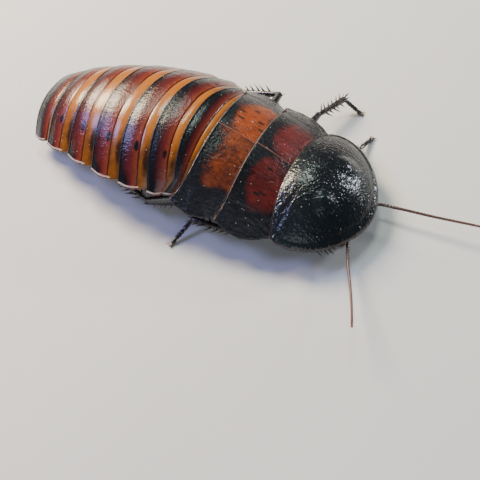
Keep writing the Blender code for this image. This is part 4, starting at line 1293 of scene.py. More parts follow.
def shield():
    """The pronotum, rings from its highest point out to the edge and back in below. Its height is
    pole + (edge - pole) * share ** SHIELD_DOME_POWER along each ray, plus the relief."""
    turn = np.linspace(math.pi, -math.pi, SHIELD_RAYS, endpoint=False)[None]
    share = np.concatenate([[0.01], np.linspace(0.03, 0.86, 48), np.linspace(0.875, 1, 16)])
    share = share[:, None]
    edge = shield_outline(turn)
    pole = np.array([SHIELD_POLE[0], 0, SHIELD_POLE[1]])
    x = pole[0] + (edge[..., 0] - pole[0]) * share
    y = edge[..., 1] * share
    dome = pole[2] + (edge[..., 2] - pole[2]) * share**SHIELD_DOME_POWER
    from_edge = (1 - share) * np.hypot(edge[..., 0] - pole[0], edge[..., 1])
    ahead = smooth(math.pi / 2 + 0.12 - np.abs(turn), 0, 0.12)
    top = np.stack([x, y, dome + shield_relief(x, y, from_edge, ahead)], -1)
    wall = shield_wall(x, y, from_edge, np.abs(turn) <= math.pi / 2)
    under = np.stack([x, y, dome - wall], -1)
    away = unit(edge - pole)
    away[..., 2] = 0
    round_edge = (top[-1:] + under[-1:]) / 2 + away * EDGE_ROUNDING
    skin = Skin()
    fields = [from_edge, from_edge[-1:], from_edge[::-1] + 1.0]
    skin.add(np.concatenate([top, round_edge, under[::-1]]), from_edge=np.concatenate(fields))
    skin.build("pronotum", shield_finish(colours()), "shield_cuticle", ["pronotum"])


def shield_finish(tints):
    """Black cuticle, grained and pitted so that the light breaks up into pinpoints, bluish here
    and greenish there, with a few pale specks and a paler line along the rim, a painted
    highlight on the rim bead."""
    f = Finish("shield_cuticle", Coat_Weight=0.6, Coat_Roughness=0.11, Specular_IOR_Level=0.1)
    tint = f.step(f.noise(0.12, 3), -0.2, 0.2)
    colour = f.mix(tint, tints["black"], SHIELD_GREEN)
    colour = f.mix(f.step(f.noise(0.5, 5), 0.0, 0.4, 0.0, 0.5), colour, tints["lobe"])
    # A paler line along the free rim: a painted highlight on the rim bead.
    rim = f.step(f.field("from_edge"), 0.2, 0.02, 0.0, 0.6)
    colour = f.mix(rim, colour, SHIELD_RIM_PAINTED_HIGHLIGHT)
    colour = f.mix(f.specks(1.3, 0.1, 0.35), colour, SHIELD_SPECK)
    grains = f.sum(f.step(f.cells(1.5), 0.5, 0.0), f.step(f.cells(2.7), 0.5, 0.0), 0.5)
    patchy = f.step(f.noise(0.6, 3), -0.3, 0.2, 0.5, 1.2)
    height = f.sum(f.times(grains, patchy), f.noise(1.6, 4), 1.6)
    depth = 1.3 * bpy.context.scene.cockroach_sizes.grain / MM
    return f.finish(colour, f.clouds(1.7, 0.3, 0.42), height, depth)


def limb(skin, start, end, wide, high, domes=(0.35, 0.45), rings=30, sides=22, joint=0.0):
    """A length of a leg between two points: an ellipse tube with half width and half height read
    from (share, size) stops, and ends rounded like half a sphere that reach domes past the
    points."""
    start, end = np.asarray(start, float), np.asarray(end, float)
    length = np.linalg.norm(end - start)
    turn = np.linspace(0.08, math.pi / 2, 6)[:-1]
    before = -domes[0] / length * np.cos(turn)
    after = 1 + domes[1] / length * np.cos(turn[::-1])
    full = np.concatenate([before, np.linspace(0, 1, rings), after])
    shrink = np.concatenate([np.sin(turn), np.ones(rings), np.sin(turn[::-1])])
    held = np.clip(full, 0, 1)
    line = start + (end - start) * full[:, None]
    wide, high = (profile(held, stops) * shrink for stops in (wide, high))
    skin.tubes(line, wide, high, sides, joint=joint)


def blob(skin, centre, forward, halves, sides=20, rings=14, **fields):
    """An ellipsoid: half its length, width and height along forward, across and up."""
    turn = np.linspace(0.04, math.pi - 0.04, rings)
    line = np.asarray(centre) - unit(forward) * (halves[0] * np.cos(turn))[:, None]
    skin.tubes(line, halves[1] * np.sin(turn), halves[2] * np.sin(turn), sides, **fields)


def leg_finish(tints):
    """Black-brown glossy cuticle with fine lengthwise lines, redder at the joints and the
    spines' tips, and paler pads."""
    f = Finish("leg_cuticle", Coat_Weight=0.5, Coat_Roughness=0.12)
    colour = f.mix(f.clouds(0.8), tints["leg"], dimmed(tints["leg"], 1.9))
    colour = f.mix(f.ragged("joint", 1.5, 3, 0.5, 0.4, 0.9, 0.7), colour, JOINT_BROWN)
    colour = f.mix(f.step(f.field("tip"), 0.35, 1.0, 0.0, 0.8), colour, SPINE_TIP_RED)
    colour = f.mix(f.step(f.field("pad"), 0.4, 0.6), colour, PAD_TAN)
    height = f.sum(f.noise(3.5, 5), f.noise(1.2, 4, (1.0, 1.0, 3.0)), 0.8)
    return f.finish(colour, f.clouds(1.5, 0.2, 0.36), height, LEG_BUMP)


def spine_places(start, end, size, shares, turns):
    """Roots on a limb's surface at shares of its length and turns round it, the ways out there
    and the way along the limb."""
    start, end = np.asarray(start, float), np.asarray(end, float)
    way = unit(end - start)
    across, up = frames(way[None])
    out = np.cos(turns)[:, None] * across + np.sin(turns)[:, None] * up
    return start + (end - start) * shares[:, None] + out * size, out, way


def hairs(skin, start, end, size, count, draw, length=LEG_HAIR_LENGTH):
    """Fine hairs at seeded places on a limb, leaning along it and bent a little more."""
    shares, turns = draw.uniform(0.05, 0.97, count), draw.uniform(0, 2 * math.pi, count)
    roots, out, way = spine_places(start, end, size, shares, turns)
    lengths = draw.uniform(0.6, 1.0, count) * length
    skin.thorns(roots, out + way * 1.2, lengths, HAIR_RADIUS, way * 0.1, 3, 3, joint=0.0)


def coxa(leg, size):
    """The flat cone that lies under the chest, level where it meets it."""
    skin = Skin()
    wide, high = scaled(COXA_WIDE, size.coxa_wide), scaled(COXA_HIGH, size.coxa_high)
    limb(skin, leg.root, leg.hip, wide, high, (0.3, 0.45), sides=32)
    for block in skin.points:
        block[..., 2] = np.minimum(block[..., 2], CHEST_FLOOR - 0.1)
    return skin


def femur(leg, size, draw):
    """The thigh: deep and flat, with two rows of spines below, two spines at the knee and
    hairs."""
    skin = Skin()
    hip, knee = leg.hip, leg.knee
    wide, high = (scaled(FEMUR_OUTLINE, half) for half in (size.femur_wide, size.femur_high))
    limb(skin, hip, knee, wide, high)
    for lean in (-1, 1):
        shares = np.linspace(0.32, 0.86, FEMUR_SPINES) + draw.uniform(-0.02, 0.02, FEMUR_SPINES)
        reach = profile(shares, FEMUR_OUTLINE)[:, None] * size.femur_high * 0.9
        turns = np.full(FEMUR_SPINES, -math.pi / 2 + FEMUR_ROW_TURN * lean)
        roots, out, way = spine_places(hip, knee, reach, shares, turns)
        lengths = draw.uniform(0.7, 1.05, FEMUR_SPINES)
        ways, bend = out + way * 0.7, way * 0.05
        skin.thorns(roots, ways, lengths, FEMUR_SPINE_RADIUS, bend, joint=0.3)
    shares, turns = np.full(2, 0.97), np.array(KNEE_SPINE_TURNS)
    roots, out, way = spine_places(hip, knee, size.femur_wide * 0.55, shares, turns)
    ways, bend = out * 0.5 + way, -out[:1] * 0.1
    skin.thorns(roots, ways, KNEE_SPINE_LENGTH, KNEE_SPINE_RADIUS, bend, joint=0.3)
    hairs(skin, hip, knee, size.femur_wide * 0.85, FEMUR_HAIRS, draw)
    return skin


def tibia(leg, size, draw):
    """The shin: three rows of strong spines, a ring of spurs at its end and hairs."""
    skin = Skin()
    knee, ankle = leg.knee, leg.ankle
    wide, high = (scaled(TIBIA_OUTLINE, half) for half in (size.tibia * 0.9, size.tibia))
    limb(skin, knee, ankle, wide, high, (0.35, 0.3))
    longest = bpy.context.scene.cockroach_sizes.spine / MM
    count = size.spines
    shares = 0.14 + 0.8 * (np.arange(count) + 0.5) / count
    turns = np.resize(TIBIA_ROW_TURNS, count) + draw.uniform(-0.35, 0.35, count)
    roots, out, way = spine_places(knee, ankle, size.tibia * 0.75, shares, turns)
    lengths = longest * draw.uniform(0.62, 1.0, count)
    ways, bend = out + way * 0.75, way * 0.06
    skin.thorns(roots, ways, lengths, TIBIA_SPINE_RADIUS, bend, 7, joint=0.2)
    shares = np.full(TIBIA_SPURS, 0.975)
    turns = np.linspace(0, 2 * math.pi, TIBIA_SPURS, endpoint=False) + 0.4
    roots, out, way = spine_places(knee, ankle, size.tibia * 0.7, shares, turns)
    lengths = longest * draw.uniform(0.45, 0.75, TIBIA_SPURS)
    ways, bend = out * 0.55 + way, way * 0.02
    skin.thorns(roots, ways, lengths, TIBIA_SPUR_RADIUS, bend, 7, joint=0.2)
    hairs(skin, knee, ankle, size.tibia * 0.85, TIBIA_HAIRS, draw)
    return skin


def tarsus(leg, size, draw):
    """The foot: five short lengths with a pad under each, two hooked claws, a pad between them
    and hairs."""
    skin = Skin()
    ankle, foot = np.asarray(leg.ankle, float), np.asarray(leg.foot, float)
    way = unit(foot - ankle)
    stops = scaled(TARSUS_OUTLINE, size.tarsus)
    for first, last in zip(TARSUS_JOINTS[:-1], TARSUS_JOINTS[1:]):
        start, end = (ankle + (foot - ankle) * share for share in (first, last - 0.015))
        limb(skin, start, end, stops, stops, (0.12, 0.14), rings=8, sides=14, joint=0.45)
        if last < 1:
            below = end - [0, 0, size.tarsus * 0.62]
            blob(skin, below, way, SOLE_PAD_HALVES, 12, 8, pad=1.0)
    level = unit(way * [1, 1, 0])
    apart = frames(way[None])[0][0] * np.array([1.0, -1.0])[:, None]
    ways = level * 0.8 + apart * 0.55 + [0, 0, 0.25]
    roots = foot + level * 0.15 + apart * 0.18
    skin.thorns(roots, ways, CLAW_LENGTH, CLAW_RADIUS, CLAW_HOOK, 8, 9, joint=0.6)
    blob(skin, foot + level * 0.3 - [0, 0, 0.08], level, CLAW_PAD_HALVES, pad=1.0)
    hairs(skin, ankle, foot, size.tarsus * 0.85, TARSUS_HAIRS, draw, TARSUS_HAIR_LENGTH)
    return skin


def legs():
    """The six legs, each in its four lengths. No spine or hair reaches below the floor."""
    finish = leg_finish(colours())
    for number, (name, leg) in enumerate(LEGS.items()):
        size = LEG_SIZES[name.split("_")[0]]
        draw = np.random.default_rng(number + 1)
        lengths = (
            ("coxa", coxa(leg, size), None),
            ("femur", femur(leg, size, draw), SPINE_CLEARANCE),
            ("tibia", tibia(leg, size, draw), SPINE_CLEARANCE),
            ("tarsus", tarsus(leg, size, draw), 0.0),
        )
        for kind, skin, floor in lengths:
            node = f"{kind}_{name}"
            skin.build(node, finish, "leg_cuticle", [node], floor)


def feeler_finish(tints):
    """Dark reddish brown, darker in the joints between the rings and redder to the tip."""
    f = Finish("feeler_cuticle", Coat_Weight=0.3, Coat_Roughness=0.2)
    ring = f.step(f.field("ring"), 0.0, 0.6)
    colour = f.mix(ring, dimmed(tints["feeler"], 0.25), tints["feeler"])
    colour = f.mix(f.step(f.field("far"), 0.2, 1.0, 0.0, 0.7), colour, FAR_FEELER_RED)
    colour = f.mix(f.step(f.field("tip"), 0.0, 0.2), colour, FEELER_HAIR_TAN)
    return f.finish(colour, 0.3, f.noise(5.0, 4), FEELER_BUMP)


def feeler_root(points, end):
    """The stout first length of a feeler, up to a share of the feeler's length."""
    skin = Skin()
    line = smooth_line(points, 16, 0.0, end)
    radii = profile(np.linspace(0, 1, 16), SCAPE_OUTLINE) * SCAPE_RADIUS
    skin.tubes(line, radii, sides=18, ring=1.0 + 0 * radii)
    return skin


def feeler_rings(points, start, end, length, draw):
    """The rings of a feeler between two places along it, FEELER_RING_PITCH long, each swollen as
    sin(pi * phase) ** 0.6 between the waists, with fine hairs."""
    skin = Skin()
    start = start - FEELER_OVERLAP
    count = int((end - start) / FEELER_RING_PITCH)
    phase = np.tile(np.linspace(0.04, 0.96, 7), count)
    line = smooth_line(points, len(phase), start / length, end / length)
    far = np.linspace(start, end, len(phase)) / length
    radii = FEELER_RADIUS + (FEELER_TIP_RADIUS - FEELER_RADIUS) * far
    radii = radii * (0.80 + 0.24 * np.sin(math.pi * phase) ** 0.6)
    skin.tubes(line, radii, sides=12, ring=np.sin(math.pi * phase), far=far)
    spots = draw.integers(2, len(line) - 2, count * FEELER_HAIRS_PER_RING)
    way = unit(np.gradient(line, axis=0)[spots])
    across, up = frames(way)
    turns = draw.uniform(0, 2 * math.pi, len(spots))[:, None]
    out = np.cos(turns) * across + np.sin(turns) * up
    roots = line[spots] + out * radii[spots, None] * 0.9
    ways, straight = out + way * 1.3, (0, 0, 0)
    length, radius = FEELER_HAIR_LENGTH, FEELER_HAIR_RADIUS
    skin.thorns(roots, ways, length, radius, straight, 3, 3, ring=1.0)
    return skin


def feelers():
    """Each feeler in three lengths: its stout root, and the near and the far part of its rings,
    which start a little inside the length before them."""
    finish = feeler_finish(colours())
    for side, word in ((1, "left"), (-1, "right")):
        draw = np.random.default_rng(40 + side)
        points = np.array([np.array(FEELER_ROOT) * [1, side, 1], *FEELER_POINTS[word]])
        length = line_length(points)
        parting = length * FEELER_PARTING
        lengths = {
            "root": feeler_root(points, SCAPE_LENGTH / length),
            "near": feeler_rings(points, SCAPE_LENGTH, parting, length, draw),
            "far": feeler_rings(points, parting, length, length, draw),
        }
        for part, skin in lengths.items():
            name = f"feeler_{part}_{word}"
            skin.build(name, finish, "feeler_cuticle", [name])


def head_finish(tints):
    """Black-brown and glossy, redder round the mouth, with pale spots beside the feelers."""
    f = Finish("head_cuticle", Coat_Weight=0.5, Coat_Roughness=0.15)
    colour = f.mix(f.clouds(0.7), tints["black"], HEAD_BROWN)
    colour = f.mix(f.ragged("mouth", 1.2, 4, 0.5, 0.3, 0.8), colour, MOUTH_BROWN)
    colour = f.mix(f.step(f.field("pale"), 0.4, 0.7), colour, FACE_SPOT_TAN)
    height = f.sum(f.noise(3.0, 6, None, 0.65), f.pits(3.0), 0.7)
    return f.finish(colour, f.clouds(1.5, 0.22, 0.38), height, HEAD_BUMP)


def eye_finish():
    """Dark compound eyes: fine facets under a clear gloss."""
    f = Finish("eye_surface", Coat_Weight=0.9, Coat_Roughness=0.06)
    facet = f.cells(EYE_FACETS)
    colour = f.mix(f.step(facet, 0.0, 0.5), FACET_BROWN, FACET_EDGE_BLACK)
    return f.finish(colour, 0.18, f.step(facet, 0.6, 0.0), EYE_BUMP)


def head_capsule():
    """The head's rings, superellipses from the crown to the lips, with the feeler sockets raised,
    the forehead's furrow, the line above the lip and the lip's notch pressed in, and its jaws."""
    levels = smooth_line(HEAD_RINGS, 90)
    turn = np.linspace(2 * math.pi, 0, 96, endpoint=False)
    c, s = np.cos(turn), np.sin(turn)
    z, x, depth, width = (levels[:, k, None] for k in range(4))
    ways = np.stack([c, s], -1)
    ways = np.sign(ways) * np.abs(ways) ** HEAD_POWER
    front = smooth(c, 0.1, 0.6)
    y = width * ways[:, 1]
    socket = np.hypot(np.abs(y) - FEELER_ROOT[1], (z - FEELER_ROOT[2]) * 1.1)
    sockets = SOCKET_RIM * hump(socket, SOCKET_RADIUS, 0.13) - SOCKET_PIT * hump(socket, 0, 0.35)
    furrow = FURROW_DEPTH * hump(y, 0, FURROW_WIDTH) * smooth(z, 4.4, 5.2)
    lip_line = LIP_LINE_DEPTH * hump(z, LIP_LINE_AT + 0.10 * y**2, 0.10)
    notch = NOTCH_DEPTH * hump(y, 0, NOTCH_WIDTH) * smooth(z, 1.5, 1.1)
    waves = FACE_WAVES * ripple(y * 1.5, z * 1.5, 5)
    grow = front * (sockets - furrow - lip_line - notch) + waves
    rings = np.stack([x + (depth + grow) * ways[:, 0], (width + grow) * ways[:, 1], z + 0 * y], -1)
    pale = hump(from_middle(np.abs(y), z, FACE_SPOT_AT, FACE_SPOT_HALVES), 0, 1) * front
    skin = Skin()
    skin.add(rings, mouth=smooth(z, 3.2, 2.2) + 0 * y, pale=pale)
    for side in (-1, 1):
        jaw = smooth_line(np.array(JAW_POINTS) * [1, side, 1], 20)
        thick = profile(np.linspace(0, 1, 20), JAW_OUTLINE)
        skin.tubes(jaw, thick * 0.8, thick, 18, mouth=np.full(20, 0.8))
    return skin


def head():
    """The head with its jaws, the two eyes and the four palps."""
    finish = head_finish(colours())
    head_capsule().build("head", finish, "head_cuticle", ["head"])
    eye = eye_finish()
    deep, wide, high = EYE_HALVES
    for side, word in ((1, "left"), (-1, "right")):
        skin = Skin()
        centre = np.array(EYE_CENTRE) * [1, side, 1]
        blob(skin, centre, (-0.25, 0, 1.0), (high, deep, wide), 40, 34)
        skin.build(f"eye_{word}", eye, "eye_surface", [f"eye_{word}"])
        for kind, points, radius, joints in PALPS:
            name = f"{kind}_palp_{word}"
            skin = palp(np.array(points) * [1, side, 1], radius, joints)
            skin.build(name, finish, "mouth_feeler_cuticle", [name])


def palp(points, radius, joints):
    """A palp of several lengths, each wider at its far end, the last one rounded and paler."""
    skin = Skin()
    share = np.linspace(0, 1, 12)
    for first, last in zip(joints[:-1], joints[1:]):
        part = smooth_line(points, 12, first, last - 0.01)
        final = last == joints[-1]
        shape = PALP_TIP_OUTLINE if final else PALP_LENGTH_OUTLINE
        mouth = share * 0.5 + (0.4 if final else 0.1)
        skin.tubes(part, radius * profile(share, shape), sides=14, mouth=mouth)
    return skin


def belly_finish(tints):
    """Glossy brown-orange plates that darken to their edges and sides."""
    f = Finish("belly_cuticle", Coat_Weight=0.5, Coat_Roughness=0.18)
    dark = f.ragged("dark", 0.5, 5, 0.6, 0.2, 0.9)
    colour = f.mix(dark, tints["belly"], BELLY_EDGE_BROWN)
    colour = f.mix(f.specks(0.7, 0.06, 0.2), colour, BELLY_SPECK)
    folds = f.noise(0.6, 3, (3.0, 0.8, 1.0))
    height = f.sum(f.noise(2.0, 6, (0.7, 1.2, 1.0), 0.65), folds, 0.8)
    return f.finish(colour, f.clouds(1.2, 0.24, 0.4), height, BELLY_BUMP)


def belly_rows(index, across, inset, ahead):
    """The flat top and the bowed floor of a belly plate under one hind edge, both drawn in by
    inset. The floor lies depth below the top in the middle and GAP below it at the sides:
    GAP + (depth - GAP) * (1 - |across| ** BELLY_POWER)."""
    name = PLATE_NAMES[index]
    plate = PLATES[name]
    width = plate.half * BELLY_WIDTH_SHARE - inset
    depth = BELLY_DEPTHS[name] - EDGE_THICKNESS - UNDER_PLATES - inset
    x = hind_edge(index, across * width / plate.half) + ahead
    top = plate.side - EDGE_THICKNESS - UNDER_PLATES + 0 * x
    drop = GAP + (depth - GAP) * (1 - np.abs(across) ** BELLY_POWER)
    return np.stack([x, width * across, top], -1), np.stack([x, width * across, top - drop], -1)


def belly():
    """The six belly plates. Each runs from under the one before it to its own hind edge, in
    straight lines between the two bows, and ends in a rounded lip."""
    finish = belly_finish(colours())
    across = np.linspace(-1, 1, 81)
    across = np.sign(across) * np.abs(across) ** 0.8
    share = np.concatenate([np.linspace(0, 0.9, 26), np.linspace(0.93, 1, 5)])[:, None, None]
    shares = np.concatenate([[[0.0]], share[..., 0], [[1.0]]])
    for index in range(PLATE_NAMES.index("tergite_2"), len(PLATE_NAMES)):
        front = belly_rows(index - 1, across, STEP_ON_TOP, 0.0)
        tucked = belly_rows(index - 1, across, STEP_ON_TOP, LIP_REACH - GAP)
        hind = belly_rows(index, across, 0.0, LIP_REACH)
        drawn = belly_rows(index, across, BELLY_LIP_INSET, LIP_REACH + 0.1)
        top, floor = (
            np.concatenate([first[None], start * (1 - share) + end * share, last[None]])
            for first, start, end, last in zip(tucked, front, hind, drawn)
        )
        floor[..., 2] -= BELLY_SWELL * np.sin(math.pi * shares)
        floor[..., 2] -= BELLY_BEAD * hump(shares, 0.93, 0.05)
        dark = 0.75 * smooth(np.abs(across), 0.55, 0.95) + 0.7 * smooth(shares, 0.72, 0.95)
        dark = dark + 0.35 * hump(across, 0, 0.12)
        skin = Skin()
        rings = np.concatenate([top, floor[:, ::-1]], 1)
        skin.add(rings, dark=np.concatenate([dark, dark[:, ::-1]], 1))
        name = "sternite_" + PLATE_NAMES[index].split("_")[1]
        skin.build(name, finish, "belly_cuticle", [name])


def chest():
    """The skin of the chest, which carries the head and the legs: rounded boxes from the neck to
    the waist, creased across where the rings of the body meet."""
    stations = smooth_line(CHEST_STATIONS, 90)
    x, width, top, bottom = (stations[:, k, None] for k in range(4))
    turn = np.linspace(0, 2 * math.pi, 96, endpoint=False)
    c, s = np.cos(turn), np.sin(turn)
    creases = sum(hump(x, place, CHEST_CREASE_WIDTH) for place in CHEST_CREASES_AT)
    half_width = width - CHEST_CREASE_DEPTH * creases
    y = half_width * -np.sign(c) * np.abs(c) ** CHEST_SIDE_POWER
    middle, half_height = (top + bottom) / 2, (top - bottom) / 2
    z = middle + half_height * np.sign(s) * np.abs(s) ** CHEST_TOP_POWER
    z = z + CHEST_WAVES * ripple(x, y, 21) * (s > 0)
    skin = Skin()
    skin.add(np.stack([x + 0 * y, y, z], -1), dark=0.9 - 0.5 * hump(y, 0, 3.0))
    nodes = ["prothorax", "mesothorax", "metathorax"]
    skin.build("chest", belly_finish(colours()), "chest_cuticle", nodes)


def tail():
    """The last back plate, which narrows to a blunt end, and the two ringed cerci."""
    last = len(PLATE_NAMES) - 1
    plate = PLATES[PLATE_NAMES[last]]
    rows = smooth_line(TAIL_STATIONS, 30)
    across = np.sin(np.linspace(-1, 1, 61) * math.pi / 2)[None]
    ahead, width, height, drop = (rows[:, k, None] for k in range(4))
    x = hind_edge(last, across * TAIL_PLATE_HALF_WIDTH / plate.half) + ahead
    z = plate.side - drop + plate.arch * height * (1 - np.abs(across) ** ARCH_POWER)
    upper = np.stack([x, TAIL_PLATE_HALF_WIDTH * width * across, z], -1)
    tone = np.linspace(*TAIL_TONES, 30)[:, None] + 0 * across
    rings, fields = closed_arch(upper, {"tone": tone})
    skin = Skin()
    skin.add(rings, tone=fields["tone"])
    finish = abdomen_finish(colours())
    skin.build("supra_anal_plate", finish, "abdomen_cuticle", ["supra_anal_plate"])
    brown = leg_finish(colours())
    for side, word in ((1, "left"), (-1, "right")):
        skin = Skin()
        root = np.array(CERCUS_ROOT) * [1, side, 1]
        way = unit(np.array(CERCUS_WAY) * [1, side, 1])
        share = np.linspace(0, 1, 49)
        waists = 1 - 0.10 * np.abs(np.cos(share * math.pi * CERCUS_RINGS)) ** 6
        radii = CERCUS_RADIUS * profile(share, CERCUS_OUTLINE) * waists
        skin.tubes(root + way * (share * CERCUS_LENGTH)[:, None], radii, sides=20)
        end = root + way * CERCUS_LENGTH * 0.9
        draw = np.random.default_rng(70 + side)
        hairs(skin, root, end, 0.4, CERCUS_HAIRS, draw, CERCUS_HAIR_LENGTH)
        skin.build(f"cercus_{word}", brown, "cercus_cuticle", [f"cercus_{word}"], floor=0.1)


def bristle_finish(tints):
    """Dark brown bristles with paler tips."""
    f = Finish("bristle", Coat_Weight=0.2)
    colour = f.mix(f.step(f.field("tip"), 0.4, 1.0, 0.0, 0.6), BRISTLE_BROWN, tints["pale"])
    return f.finish(colour, 0.35, f.noise(4.0, 2), BRISTLE_BUMP)


def bristles():
    """Short bristles along the hind edges of the shield and the thorax: roots spread along each
    edge's arch, leaning back and a little up. Each bristle has its own patch of the map OFBake."""
    length = bpy.context.scene.cockroach_sizes.bristle / MM
    draw = np.random.default_rng(9)
    skin = Skin()
    for index, count in BRISTLE_ROWS:
        across = np.sin(np.linspace(-BRISTLE_SPREAD, BRISTLE_SPREAD, count))
        across = across + draw.uniform(-0.004, 0.004, count)
        roots = arch_point(index, across, 0.03, 0.08)
        leans = draw.uniform(-0.3, 0.3, count) + 0.3 * across
        back, up = draw.uniform(-1.2, -0.8, count), draw.uniform(0.15, 0.6, count)
        ways = np.stack([back, leans, up], -1)
        lengths = length * draw.uniform(0.6, 1.0, count)
        bend = [0, 0, -0.05]
        skin.thorns(roots, ways, lengths, BRISTLE_RADIUS, bend, BRISTLE_SIDES, BRISTLE_RINGS)
    made = skin.build("edge_bristles", bristle_finish(colours()), "thorax_cuticle")
    bake_map(made, BRISTLE_SIDES * BRISTLE_RINGS + 2)


def bake_map(obj, size):
    """Adds the map OFBake, where each bristle of size points is a small round patch in a grid."""
    mesh = obj.data
    spots = np.zeros(len(mesh.loops), np.int32)
    mesh.loops.foreach_get("vertex_index", spots)
    bristle, point = spots // size, spots % size
    cell = np.stack([bristle % MAP_COLUMNS, bristle // MAP_COLUMNS], -1)
    turn = point / size * 2 * math.pi
    inside = MAP_PATCH_RADIUS * np.stack([np.cos(turn), np.sin(turn)], -1)
    places = ((cell + 0.5) * MAP_PITCH + inside).astype(np.float32)
    mesh.uv_layers.new(name="OFBake").data.foreach_set("uv", places.ravel())


def put(name, data, axes, place):
    """Adds a camera or a light to the scene at a place in metres, with its own right, up and
    back as axes."""
    matrix = np.eye(4)
    matrix[:3, :3] = np.array(axes).T
    matrix[:3, 3] = place
    obj = bpy.data.objects.new(name, data)
    obj.matrix_world = Matrix(matrix.tolist())
    bpy.context.scene.collection.objects.link(obj)
    return obj


def stage():
    """The camera at the photograph's place, the plain floor and soft lights."""
    scene = bpy.context.scene
    tints = colours()
    lens = bpy.data.cameras.new("camera")
    lens.lens = CAMERA_LENS
    lens.sensor_width = CAMERA_SENSOR
    lens.clip_start = CAMERA_NEAREST
    lens.clip_end = CAMERA_FARTHEST
    place = (np.array(CAMERA_PLACE) + SHIFT) * MM
    scene.camera = put("camera", lens, [CAMERA_RIGHT, CAMERA_UP, CAMERA_BACK], place)

    corners = [(x * FLOOR_HALF, y * FLOOR_HALF, 0) for x, y in ((-1, -1), (1, -1), (1, 1), (-1, 1))]
    mesh = bpy.data.meshes.new("floor")
    mesh.from_pydata(corners, [], [(0, 1, 2, 3)])
    floor = bpy.data.objects.new("floor", mesh)
    f = Finish("floor_paint", Specular_IOR_Level=0.2)
    shade = f.mix(f.clouds(0.02, detail=3), tints["floor"], dimmed(tints["floor"], 0.96))
    mesh.materials.append(f.finish(shade, 0.7, f.noise(1.5, 3), FLOOR_BUMP))
    scene.collection.objects.link(floor)

    for name, lamp in LAMPS.items():
        light = bpy.data.lights.new(name, "AREA")
        light.shape = "DISK"
        light.size = lamp.size
        light.color = lamp.colour
        light.energy = getattr(scene.cockroach_sizes, f"{name}_power")
        way = unit(lamp.way)
        across, up = frames(-way)
        put(name, light, [-across, up, way], way * lamp.away)
    world = bpy.data.worlds.new("studio")
    world.use_nodes = True
    background = world.node_tree.nodes["Background"]
    background.inputs["Color"].default_value = (*WORLD_COLOUR, 1.0)
    background.inputs["Strength"].default_value = WORLD_STRENGTH
    scene.world = world


class COCKROACH_OT_stage(bpy.types.Operator):
    """Adds the camera, the floor and the lights"""

    bl_idname = "cockroach.stage"
    bl_label = "Stage"

    def execute(self, context):
        stage()
        return {"FINISHED"}


class COCKROACH_OT_shield(bpy.types.Operator):
    """Adds the shield over the head"""

    bl_idname = "cockroach.shield"
    bl_label = "Shield"

    def execute(self, context):
        shield()
        return {"FINISHED"}


class COCKROACH_OT_back_plates(bpy.types.Operator):
    """Adds the plates of the thorax and the abdomen"""

    bl_idname = "cockroach.back_plates"
    bl_label = "Back plates"

    def execute(self, context):
        back_plates()
        return {"FINISHED"}


class COCKROACH_OT_chest_and_belly(bpy.types.Operator):
    """Adds the chest and the plates of the belly"""

    bl_idname = "cockroach.chest_and_belly"
    bl_label = "Chest and belly"

    def execute(self, context):
        chest()
        belly()
        return {"FINISHED"}


class COCKROACH_OT_tail(bpy.types.Operator):
    """Adds the last plate of the back and the cerci"""

    bl_idname = "cockroach.tail"
    bl_label = "Tail"

    def execute(self, context):
        tail()
        return {"FINISHED"}


class COCKROACH_OT_head(bpy.types.Operator):
    """Adds the head, the eyes and the palps"""

    bl_idname = "cockroach.head"
    bl_label = "Head"

    def execute(self, context):
        head()
        return {"FINISHED"}


class COCKROACH_OT_feelers(bpy.types.Operator):
    """Adds the two ringed feelers"""

    bl_idname = "cockroach.feelers"
    bl_label = "Feelers"

    def execute(self, context):
        feelers()
        return {"FINISHED"}


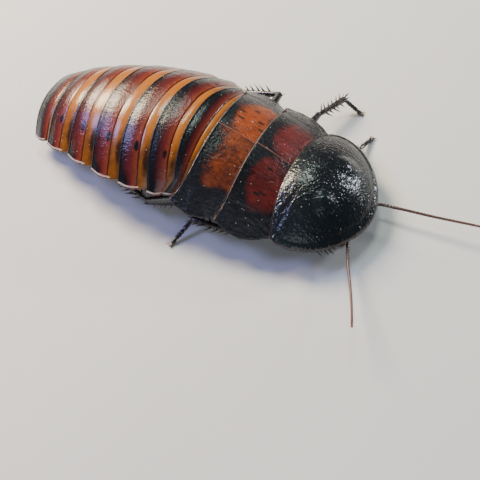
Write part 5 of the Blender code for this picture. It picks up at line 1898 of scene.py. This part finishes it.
class COCKROACH_OT_legs(bpy.types.Operator):
    """Adds the six legs with their spines, claws and pads"""

    bl_idname = "cockroach.legs"
    bl_label = "Legs"

    def execute(self, context):
        legs()
        return {"FINISHED"}


class COCKROACH_OT_bristles(bpy.types.Operator):
    """Adds the short bristles on the edges of the shield and the thorax"""

    bl_idname = "cockroach.bristles"
    bl_label = "Bristles"

    def execute(self, context):
        bristles()
        return {"FINISHED"}


class COCKROACH_PT_model(bpy.types.Panel):
    """Lists the model's colours, sizes and pieces"""

    bl_label = "Hissing cockroach"
    bl_idname = "COCKROACH_PT_model"
    bl_space_type = "VIEW_3D"
    bl_region_type = "UI"
    bl_category = "Cockroach"

    def draw(self, context):
        column = self.layout.column()
        for group in (context.scene.cockroach_colours, context.scene.cockroach_sizes):
            for name in type(group).__annotations__:
                column.prop(group, name)
        for operator in OPERATORS:
            column.operator(operator.bl_idname)


OPERATORS = (
    COCKROACH_OT_stage,
    COCKROACH_OT_shield,
    COCKROACH_OT_back_plates,
    COCKROACH_OT_chest_and_belly,
    COCKROACH_OT_tail,
    COCKROACH_OT_head,
    COCKROACH_OT_feelers,
    COCKROACH_OT_legs,
    COCKROACH_OT_bristles,
)
CLASSES = (CockroachColours, CockroachSizes, *OPERATORS, COCKROACH_PT_model)


def register():
    """Registers the classes and gives the scene its colours and sizes."""
    for cls in CLASSES:
        bpy.utils.register_class(cls)
    bpy.types.Scene.cockroach_colours = PointerProperty(type=CockroachColours)
    bpy.types.Scene.cockroach_sizes = PointerProperty(type=CockroachSizes)


def unregister():
    """Takes the scene's colours and sizes and the classes away again."""
    del bpy.types.Scene.cockroach_sizes
    del bpy.types.Scene.cockroach_colours
    for cls in reversed(CLASSES):
        bpy.utils.unregister_class(cls)


def main():
    """Builds the whole model."""
    register()
    bpy.ops.cockroach.stage()
    bpy.ops.cockroach.shield()
    bpy.ops.cockroach.back_plates()
    bpy.ops.cockroach.chest_and_belly()
    bpy.ops.cockroach.tail()
    bpy.ops.cockroach.head()
    bpy.ops.cockroach.feelers()
    bpy.ops.cockroach.legs()
    bpy.ops.cockroach.bristles()


if __name__ == "__main__":
    main()
